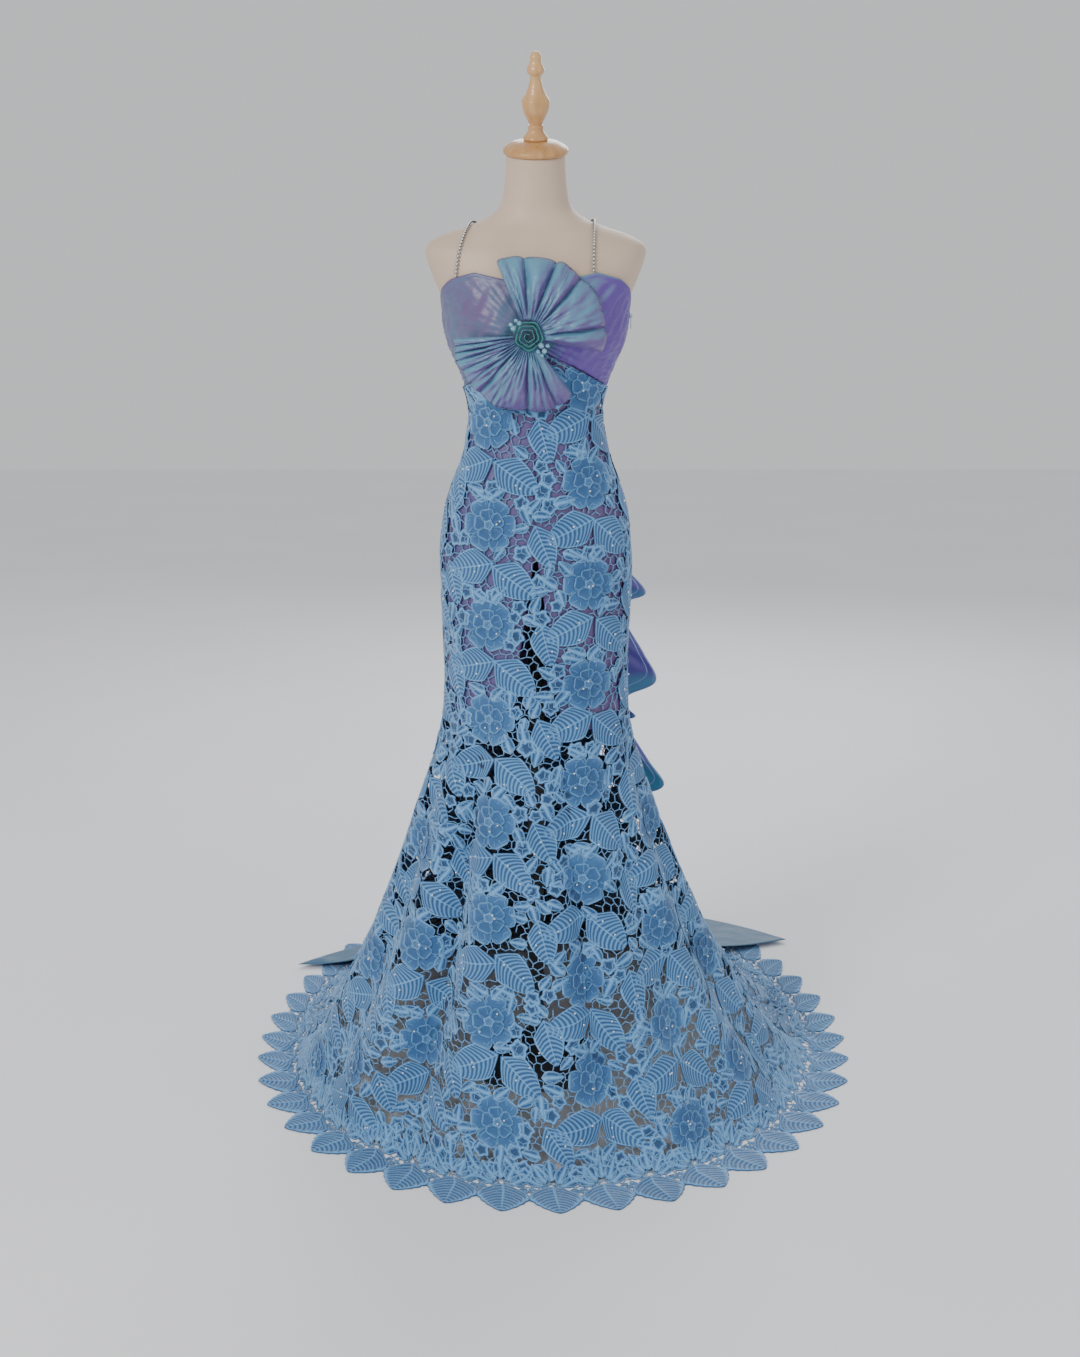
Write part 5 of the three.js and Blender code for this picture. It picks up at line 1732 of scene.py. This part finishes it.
@dataclass
class Straps:
    """Two chains of clear stones in silver cups, over the shoulders from front to back."""

    pitch: float = 6.1
    lift: float = 0.5
    front_z: float = 1402.0
    back_z: float = 1336.0
    # Corners, radius and depth of a cup; corners, girdle, table and height of its stone
    cup: tuple = (8, 2.6, 2.0)
    stone: tuple = (8, 2.1, 1.2, 1.6)
    stone_up: float = 1.5
    link: tuple = (1.0, 0.7)
    # Node, x at the front, over the shoulder and at the back
    paths: tuple = (("strap_right", 92, 96, 62), ("strap_left", -128, -104, -62))

    def angle_at(self, place: np.ndarray, x: np.ndarray) -> np.ndarray:
        """The angle on the front of the body at which it has the given x.

        Args:
            place: rows of LEVELS.
            x: across, in millimetres.

        Returns:
            The angle in radians.
        """
        low, high = np.zeros(x.shape), np.full(x.shape, math.pi / 2)
        for _ in range(26):
            middle = (low + high) / 2
            inside = FIGURE.point(place, middle)[:, 0] < np.abs(x)
            low, high = np.where(inside, middle, low), np.where(inside, high, middle)
        return (low + high) / 2 * np.sign(x)

    def crossing(self, x: np.ndarray) -> np.ndarray:
        """The place on the shoulder at which the body is as wide as x.

        Args:
            x: across, in millimetres.

        Returns:
            The row of LEVELS.
        """
        low, high = np.full(x.shape, 2.0), np.full(x.shape, 7.0)
        for _ in range(26):
            middle = (low + high) / 2
            narrow = FIGURE.point(middle, np.full(x.shape, math.pi / 2))[:, 0] < np.abs(x)
            low, high = np.where(narrow, middle, low), np.where(narrow, high, middle)
        return high

    def half_path(self, top_x: float, end_x: float, front: bool, count: int = 90) -> Points:
        """Points from the shoulder down to the bodice's edge, on one side.

        Args:
            top_x: x on the shoulder.
            end_x: x at the bodice.
            front: whether it is in front.
            count: how many points.

        Returns:
            The points of the path.
        """
        share = np.linspace(0, 1, count)
        x = top_x + (end_x - top_x) * share
        peak = self.crossing(x)
        edge_z = self.front_z if front else self.back_z
        edge_angle = self.angle_at(np.full(count, float(FIGURE.place_at(edge_z))), x)
        edge = FIGURE.top_edge(edge_angle if front else math.pi - edge_angle) + 0.6
        place = peak + (FIGURE.place_at(edge) - peak) * share ** 1.6
        angle = self.angle_at(place, x)
        angle[0] = math.pi / 2 * np.sign(top_x)
        return np.column_stack([place, angle if front else math.pi - angle])

    def build(self) -> list[bpy.types.Object]:
        """Builds each strap's cups and stones.

        Returns:
            The pieces.
        """
        cup, stone = cup_shape(*self.cup), stone_shape(*self.stone)
        made = []
        for name, front_x, top_x, back_x in self.paths:
            front, back = self.half_path(top_x, front_x, True), self.half_path(top_x, back_x, False)
            route = np.concatenate([front[::-1], back[1:]])
            line = FIGURE.offset(route[:, 0], route[:, 1], self.lift)
            outer = FIGURE.offset(route[:, 0], route[:, 1], self.lift + 1)
            run = np.concatenate([[0], np.cumsum(np.linalg.norm(np.diff(line, axis=0), axis=1))])
            spots = np.arange(self.pitch / 2, run[-1] - self.pitch / 2, self.pitch)
            at = np.stack([np.interp(spots, run, line[:, k]) for k in range(3)], axis=1)
            out = np.stack([np.interp(spots, run, (outer - line)[:, k]) for k in range(3)], axis=1)
            along = np.gradient(at, axis=0)
            frames = self.frames(along, out)
            cups, stones = MeshParts(), MeshParts()
            cups.add(cup, at[:, None] + np.einsum("pk,nkj->npj", cup.points, frames))
            bars = NET_BAR.points * np.array([self.pitch, *self.link])
            cups.add(NET_BAR, at[:, None] + np.einsum("pk,nkj->npj", bars, frames))
            set_in = stone.points + np.array([0, 0, self.stone_up])
            stones.add(stone, at[:, None] + np.einsum("pk,nkj->npj", set_in, frames))
            for parts, part_name, finish in ((cups, "_cups", SILVER), (stones, "_stones", CLEAR_STONE)):
                piece = parts.mesh(name + part_name, lambda points: points * MM, uv=False)
                piece.data.polygons.foreach_set("use_smooth", [False] * len(piece.data.polygons))
                WARDROBE.dress(piece, finish)
                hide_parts(name)
                made.append(piece)
        return made

    def frames(self, along: Points, out: Points) -> np.ndarray:
        """The along, side and out directions at each place, as rows of a matrix.

        Args:
            along: directions along the strap.
            out: directions away from the body.

        Returns:
            A matrix for each place.
        """
        along = along / np.linalg.norm(along, axis=1)[:, None]
        side = np.cross(out, along)
        side /= np.linalg.norm(side, axis=1)[:, None]
        return np.stack([along, side, np.cross(along, side)], axis=1)


@dataclass
class Train:
    """The taffeta train, which hangs down the back and lies out over the lace on the floor."""

    top: float = 1224.0
    inner: float = 11.5
    lift: float = 1.5
    wall: float = 0.8
    waves: int = 9
    wave_lift: float = 0.5
    hanging: float = 0.66
    floor_z: float = 7.5
    size: tuple = (1030, 1730)
    # The cut's area in square metres
    area: float = 0.64
    # Height, and the angles of the right and left edges
    edges: tuple = ((1224, 160, 200), (1000, 152, 208), (800, 150, 210), (600, 148, 213),
                    (400, 144, 218), (200, 139, 226), (18, 134, 234))
    centre: tuple = (30, 120)
    # Angle and reach of the outline on the floor
    outline: tuple = ((132, 680), (149.6, 672), (180, 680), (219.9, 575), (238.7, 613))

    def wave(self, angle: np.ndarray) -> np.ndarray:
        """The train's own soft folds."""
        return RIDGE_LIFT + self.wave_lift * (1 + np.cos(angle * self.waves)) / 2

    def at(self, u: np.ndarray, v: np.ndarray) -> Points:
        """Points from the waist down the back and out over the floor.

        Args:
            u: share along the first side.
            v: share along the second side.

        Returns:
            The points in millimetres.
        """
        down = np.clip(v / self.hanging, 0, 1)
        z = self.top + (18 - self.top) * down
        heights, right, left = (np.array(column, float)[::-1] for column in zip(*self.edges))
        first, last = np.interp(z, heights, right), np.interp(z, heights, left)
        angle = (first + (last - first) * u) * DEG
        edge = np.minimum(u, 1 - u)
        band = 0.5 * smoothstep(0.022, 0.018, edge)
        crease = 1.9 * ripple(u * 5, v * 7, 21, 7) * smoothstep(0, 0.06, v)
        out = self.inner + self.lift + band + np.maximum(crease, -1.0)
        hung = FIGURE.offset(FIGURE.place_at(z), angle, out, self.wave)
        to_edge = np.clip((v - self.hanging) / (1 - self.hanging), 0, 1)
        turns, reaches = (np.array(column, float) for column in zip(*self.outline))
        turn = turns[0] + (turns[-1] - turns[0]) * u
        reach = np.interp(turn, turns, reaches)
        x = self.centre[0] + reach * np.sin(turn * DEG)
        y = self.centre[1] - reach * np.cos(turn * DEG)
        billow = 5.0 * np.maximum(ripple(u * 7, v * 5, 33, 6), 0)
        billow = billow * np.sin(math.pi * np.clip(to_edge, 0, 1)) ** 0.5
        rise = self.floor_z + 1.0 + billow + band
        settle = (1 - to_edge) ** 3
        lying = np.stack([hung[:, 0] + (x - hung[:, 0]) * to_edge, hung[:, 1] + (y - hung[:, 1]) * to_edge,
                          (hung[:, 2] - rise) * settle + rise], axis=1)
        return np.where((v > self.hanging)[:, None], lying, hung)

    def build(self) -> bpy.types.Object:
        """Builds the train.

        Returns:
            The piece.
        """
        cloth = Cloth("train_taffeta", 120, 150, *self.size, self.wall)
        piece = cloth.make(self.at, TAFFETA_TRAIN)
        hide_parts("train")
        return piece


@dataclass
class Cascade:
    """The ruffle of taffeta beside the train, folded out and back in tiers, with a corded hem."""

    angle: float = 139.0
    top: float = 935.0
    low: float = 505.0
    offset: float = 9.0
    wall: float = 1.2
    size: tuple = (620, 75)
    hem_steps: int = 240
    # The corded edge and the hem's fold: share across the ruffle and radius
    hem_lines: tuple = (("cascade_hem", 1.0, 1.6), ("cascade_hem_fold", 0.85, 1.7))
    # Points of the free edge
    edge: tuple = (
        (150, 112, 905), (195, 125, 854), (163, 142, 832), (160, 114, 800), (192, 108, 745), (216, 128, 689),
        (168, 147, 658), (160, 120, 640), (179, 112, 627), (152, 134, 612), (170, 144, 590), (205, 120, 540),
        (234, 128, 494), (206, 152, 472), (178, 162, 482),
    )

    def at(self, u: np.ndarray, v: np.ndarray) -> Points:
        """Points from the sewn edge to the free edge.

        Args:
            u: share along the first side.
            v: share along the second side.

        Returns:
            The points in millimetres.
        """
        rows = np.array(self.edge, float)
        free = along_rows(rows, u * (len(rows) - 1))
        z = self.top + (self.low - self.top) * u
        sewn = FIGURE.offset(FIGURE.place_at(z), np.full(u.shape, self.angle * DEG), self.offset)
        points = sewn + (free - sewn) * v[:, None]
        points[:, 1] += 1.6 * ripple(u * 9, v * 1.3, 41) * v * (1 - v) * 3
        return points

    def build(self) -> list[bpy.types.Object]:
        """Builds the ruffle and the cord along its free edge.

        Returns:
            The pieces.
        """
        cloth = Cloth("cascade_taffeta", 260, 16, *self.size, self.wall, facing=None)
        piece = cloth.make(self.at, TAFFETA_CASCADE)
        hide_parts("cascade")
        made, share = [piece], np.linspace(0, 1, self.hem_steps)
        for name, across, radius in self.hem_lines:
            line = self.at(share, np.full(self.hem_steps, across))
            made.append(piping(name, line, radius))
            WARDROBE.dress(made[-1], TAFFETA_HEM)
        return made


def piping(name: str, line: Points, radius: float) -> bpy.types.Object:
    """A thin six-sided cord along a line of points in millimetres.

    Args:
        name: the cord's name.
        line: points in its middle.
        radius: half its thickness.

    Returns:
        The cord.
    """
    bm = bmesh.new()
    steps, sides = len(line), 6
    bmesh.ops.create_grid(bm, x_segments=steps - 1, y_segments=sides, size=0.5)
    flat = np.array([v.co for v in bm.verts])
    along = np.gradient(line, axis=0)
    along /= np.linalg.norm(along, axis=1)[:, None]
    side = np.cross(along, np.array([0.1, 0.2, 1.0]))
    side /= np.linalg.norm(side, axis=1)[:, None]
    lift = np.cross(side, along)
    k = np.round((flat[:, 0] + 0.5) * (steps - 1)).astype(int)
    turn = np.round((flat[:, 1] + 0.5) * sides)[:, None] * math.tau / sides
    points = line[k] + radius * (lift[k] * np.cos(turn) - side[k] * np.sin(turn))
    for vert, point in zip(bm.verts, points):
        vert.co = point
    bmesh.ops.remove_doubles(bm, verts=bm.verts, dist=1e-4)
    bmesh.ops.holes_fill(bm, edges=[e for e in bm.edges if e.is_boundary])
    bmesh.ops.recalc_face_normals(bm, faces=bm.faces)
    return finished(bm, name)


# The form, its stand and the zip

@dataclass
class Form:
    """The smooth shell of the dress form, from the neck down to the hips."""

    inset: float = -2.2
    low: float = 950.0
    columns: int = 96
    rows: int = 120

    def build(self) -> bpy.types.Object:
        """Builds the shell, closed at the neck and below.

        Returns:
            The piece.
        """
        bm, u, v = grid(self.columns, self.rows)
        place = (1 - v) * float(FIGURE.place_at(self.low))
        angle = u * math.tau
        points = FIGURE.offset(place, angle, self.inset)
        for vert, point in zip(bm.verts, points):
            vert.co = point
        bmesh.ops.remove_doubles(bm, verts=bm.verts, dist=0.001)
        ends = bmesh.ops.holes_fill(bm, edges=[e for e in bm.edges if e.is_boundary])["faces"]
        for face in ends:
            bmesh.ops.inset_region(bm, faces=[face], thickness=3.0, depth=0.0)
        bmesh.ops.recalc_face_normals(bm, faces=bm.faces)
        piece = finished(bm, "form_shell")
        WARDROBE.dress(piece, SHELL)
        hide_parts("form_torso")
        return piece


def turned(profile: Sequence[tuple[float, float]], steps: int, round_off: float) -> bmesh.types.BMesh:
    """Spins a profile of radius and height round the z axis, and rounds its corners.

    Args:
        profile: radius and height of each ring.
        steps: places round the axis.
        round_off: width of the rounded corners.

    Returns:
        The mesh, in millimetres.
    """
    bm = bmesh.new()
    chain = [bm.verts.new((radius, 0, z)) for radius, z in profile]
    edges = [bm.edges.new(pair) for pair in zip(chain, chain[1:])]
    bmesh.ops.spin(bm, geom=chain + edges, axis=(0, 0, 1), cent=(0, 0, 0), steps=steps, angle=math.tau,
                   use_merge=True)
    bmesh.ops.remove_doubles(bm, verts=bm.verts, dist=0.001)
    bmesh.ops.recalc_face_normals(bm, faces=bm.faces)
    if round_off:
        sharp = [e for e in bm.edges if e.is_manifold and e.calc_face_angle() > 35 * DEG]
        bmesh.ops.bevel(bm, geom=sharp, offset=round_off, affect="EDGES", segments=3, profile=0.5,
                        material=-1)
    return bm


@dataclass
class Stand:
    """The wooden cap and finial on the neck, and the steel pole and base under the form."""

    neck: tuple = (0.0, -12.0, 1600.0)
    tilt: float = math.atan(0.25)
    cap_gap: float = 0.3
    finial_gap: float = 21.1
    base_radius: float = 120.0
    base_height: float = 16.0
    pole_radius: float = 14.0
    pole_top: float = 949.7
    cap: tuple = ((0, 0), (51.5, 0), (53, 3), (53, 6.5), (49, 11), (38, 17), (24, 20.5), (0, 20.5))
    finial: tuple = ((19, 0), (20, 4), (12.5, 15), (12.5, 23), (10.5, 25), (20, 45), (22.5, 60), (20.5, 65),
                     (14.5, 75), (8.3, 96), (13, 104), (14, 110), (9, 120.5), (8.6, 129),
                     (4, 135.5), (0, 136))

    def smooth_profile(self, profile: tuple, parts: int) -> list[tuple[float, float]]:
        """The profile with a smooth curve through its points."""
        rows = np.array(profile, float)
        fine = along_rows(rows, np.linspace(0, len(rows) - 1, (len(rows) - 1) * parts + 1))
        return [(max(r, 0.0), z) for r, z in fine]

    def on_neck(self, bm: bmesh.types.BMesh, up: float) -> None:
        """Moves a turned form onto the tilted neck."""
        bmesh.ops.translate(bm, vec=(0, 0, up), verts=bm.verts)
        bmesh.ops.rotate(bm, cent=(0, 0, 0), matrix=Matrix.Rotation(self.tilt, 3, "X"), verts=bm.verts)
        bmesh.ops.translate(bm, vec=self.neck, verts=bm.verts)

    def build(self) -> list[bpy.types.Object]:
        """Builds the cap, the finial, the pole and the base.

        Returns:
            The pieces.
        """
        cap = turned(self.cap, 72, 0.8)
        self.on_neck(cap, self.cap_gap)
        finial = turned([(0, 0), *self.smooth_profile(self.finial, 5)], 56, 0)
        self.on_neck(finial, self.finial_gap)
        r, h = self.base_radius, self.base_height
        base = turned(((0, 0), (r, 0), (r, h - 5), (r - 4, h), (40, h), (24, h - 1), (0, h - 1)), 72, 1.2)
        p = self.pole_radius
        low = h + 0.3
        pole = turned(((0, low), (p, low), (p, self.pole_top), (0, self.pole_top)), 40, 0.6)
        made = []
        for bm, node, finish in ((cap, "neck_cap", WOOD), (finial, "finial", WOOD),
                                 (base, "stand_base", STEEL), (pole, "stand_pole", STEEL)):
            piece = finished(bm, node + "_turned")
            WARDROBE.dress(piece, finish)
            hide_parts(node)
            made.append(piece)
        return made


@dataclass
class Zip:
    """The side zip's coil; its slider and pull are nodes of the frame."""

    top: float = 1337.0
    low: float = 1234.0
    pitch: float = 1.6
    lift: float = 2.9
    tooth: tuple = (1.1, 3.6, 1.0)
    tooth_round: float = 0.25

    def build(self) -> list[bpy.types.Object]:
        """Builds the coil and dresses the slider and the pull.

        Returns:
            The pieces.
        """
        z = np.arange(self.low, self.top, self.pitch)
        angle = np.full(z.shape, math.pi / 2)
        at = FIGURE.offset(FIGURE.place_at(z), angle, self.lift)
        out = FIGURE.offset(FIGURE.place_at(z), angle, self.lift + 1) - at
        frames = Straps().frames(np.gradient(at, axis=0), out)
        bm = bmesh.new()
        bmesh.ops.create_cube(bm, size=1)
        bmesh.ops.scale(bm, vec=self.tooth, verts=bm.verts)
        bmesh.ops.bevel(bm, geom=bm.edges[:], offset=self.tooth_round, affect="EDGES", segments=1,
                        profile=0.5, material=-1)
        tooth = Shape.of(bm, low=-1)
        parts = MeshParts()
        parts.add(tooth, at[:, None] + np.einsum("pk,nkj->npj", tooth.points, frames))
        coil = parts.mesh("zip_coil", lambda points: points * MM, uv=False)
        WARDROBE.dress(coil, ZIP_BLUE)
        for node in ("zip_slider", "zip_pull"):
            WARDROBE.dress_node(node, ZIP_BLUE)
        return [coil]


# The studio

@dataclass
class Studio:
    """The floor, the soft lights and the camera."""

    floor_half: float = 9.0
    camera_at: tuple = (0.007, -3.0, 1.45)
    camera_pitch: float = 76.4
    lens: float = 47.11
    sensor: float = 36.0
    air: tuple = (0.86, 0.87, 0.89, 1)
    air_strength: float = 0.78
    middle: tuple = (0, 0, 0.9)
    # Name, place, side in metres, watts and colour
    lamps: tuple = (
        ("key", (-2.4, -3.2, 3.2), 1.3, 105, (1.0, 0.98, 0.96)),
        ("fill", (3.2, -2.4, 1.8), 2.4, 20, (0.88, 0.93, 1.0)),
        ("back", (0.6, 3.2, 2.8), 2.0, 60, (0.95, 0.97, 1.0)),
    )

    def light(self, name: str, at: tuple, size: float, power: float, colour: tuple) -> None:
        """Adds a soft square light.

        Args:
            name: the light's name.
            at: its place in metres.
            size: its side in metres.
            power: its watts.
            colour: its colour.
        """
        data = bpy.data.lights.new(name, "AREA")
        data.size, data.energy, data.color = size, power, colour
        lamp = bpy.data.objects.new(name, data)
        lamp.location = at
        lamp.rotation_euler = (Vector(self.middle) - Vector(at)).to_track_quat("-Z", "Y").to_euler()
        bpy.context.scene.collection.objects.link(lamp)

    def floor(self) -> bpy.types.Object:
        """A wide pale floor.

        Returns:
            The floor.
        """
        bm = bmesh.new()
        bmesh.ops.create_grid(bm, x_segments=1, y_segments=1, size=self.floor_half)
        mesh = bpy.data.meshes.new("floor")
        bm.to_mesh(mesh)
        bm.free()
        plane = bpy.data.objects.new("floor", mesh)
        bpy.context.scene.collection.objects.link(plane)
        g = Graph("pale_floor")
        place = g.add("TexCoord")
        patch = g.add("TexNoise", Vector=place.outputs["Object"], Scale=1.5, Detail=2.0)
        grey = [(0.3, (0.88, 0.88, 0.9)), (0.7, (0.91, 0.91, 0.93))]
        g.principled(Base_Color=g.ramp(patch.outputs["Fac"], grey))
        g.principled(Roughness=0.7)
        mesh.materials.append(g.material)
        return plane

    def build(self) -> None:
        """Builds the floor, the lights, the sky and the camera."""
        self.floor()
        world = bpy.data.worlds.new("studio_air")
        world.use_nodes = True
        sky = world.node_tree.nodes["Background"]
        sky.inputs["Color"].default_value = self.air
        sky.inputs["Strength"].default_value = self.air_strength
        bpy.context.scene.world = world
        for lamp in self.lamps:
            self.light(*lamp)
        data = bpy.data.cameras.new("camera")
        data.lens, data.sensor_width = self.lens, self.sensor
        camera = bpy.data.objects.new("camera", data)
        camera.location = self.camera_at
        camera.rotation_euler = Euler((self.camera_pitch * DEG, 0, 0))
        bpy.context.scene.collection.objects.link(camera)
        bpy.context.scene.camera = camera


# Each fold's angle in degrees and how deep it is
UPPER_FOLDS = ((-13, 1), (5, 1), (26, 0.12), (45, 0.85), (57, 0.15), (70, 1), (92, 1), (104, 0.12), (114, 1))
LOWER_FOLDS = ((180, 0.9), (187, 0.5), (194, 0.6), (201, 0.45), (209, 0.6), (218, 0.5), (227, 0.75),
               (241, 0.2), (252, 0.12), (269, 1), (281, 0.15), (291, 0.8), (309, 1))
WINGS = (
    Wing("flower_wing_upper", UPPER_FOLDS, 24.8, 126, 20, (330, 205), 2),
    Wing("flower_wing_lower", LOWER_FOLDS, 21.2, 122, 18, (330, 200), 5),
)


def main() -> None:
    """Builds every part of the gown and its form in order."""
    logging.basicConfig(level=logging.INFO)
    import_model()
    builders = [Form(), Stand(), Bodice(), Slip(), LaceSkirt(), *WINGS]
    builders += [Rose(), Straps(), Train(), Cascade(), Zip()]
    for builder in builders:
        made = builder.build()
        for piece in made if isinstance(made, list) else [made]:
            LOG.info("%s: %d faces", piece.name, len(piece.data.polygons))
    Studio().build()


if __name__ == "__main__":
    main()
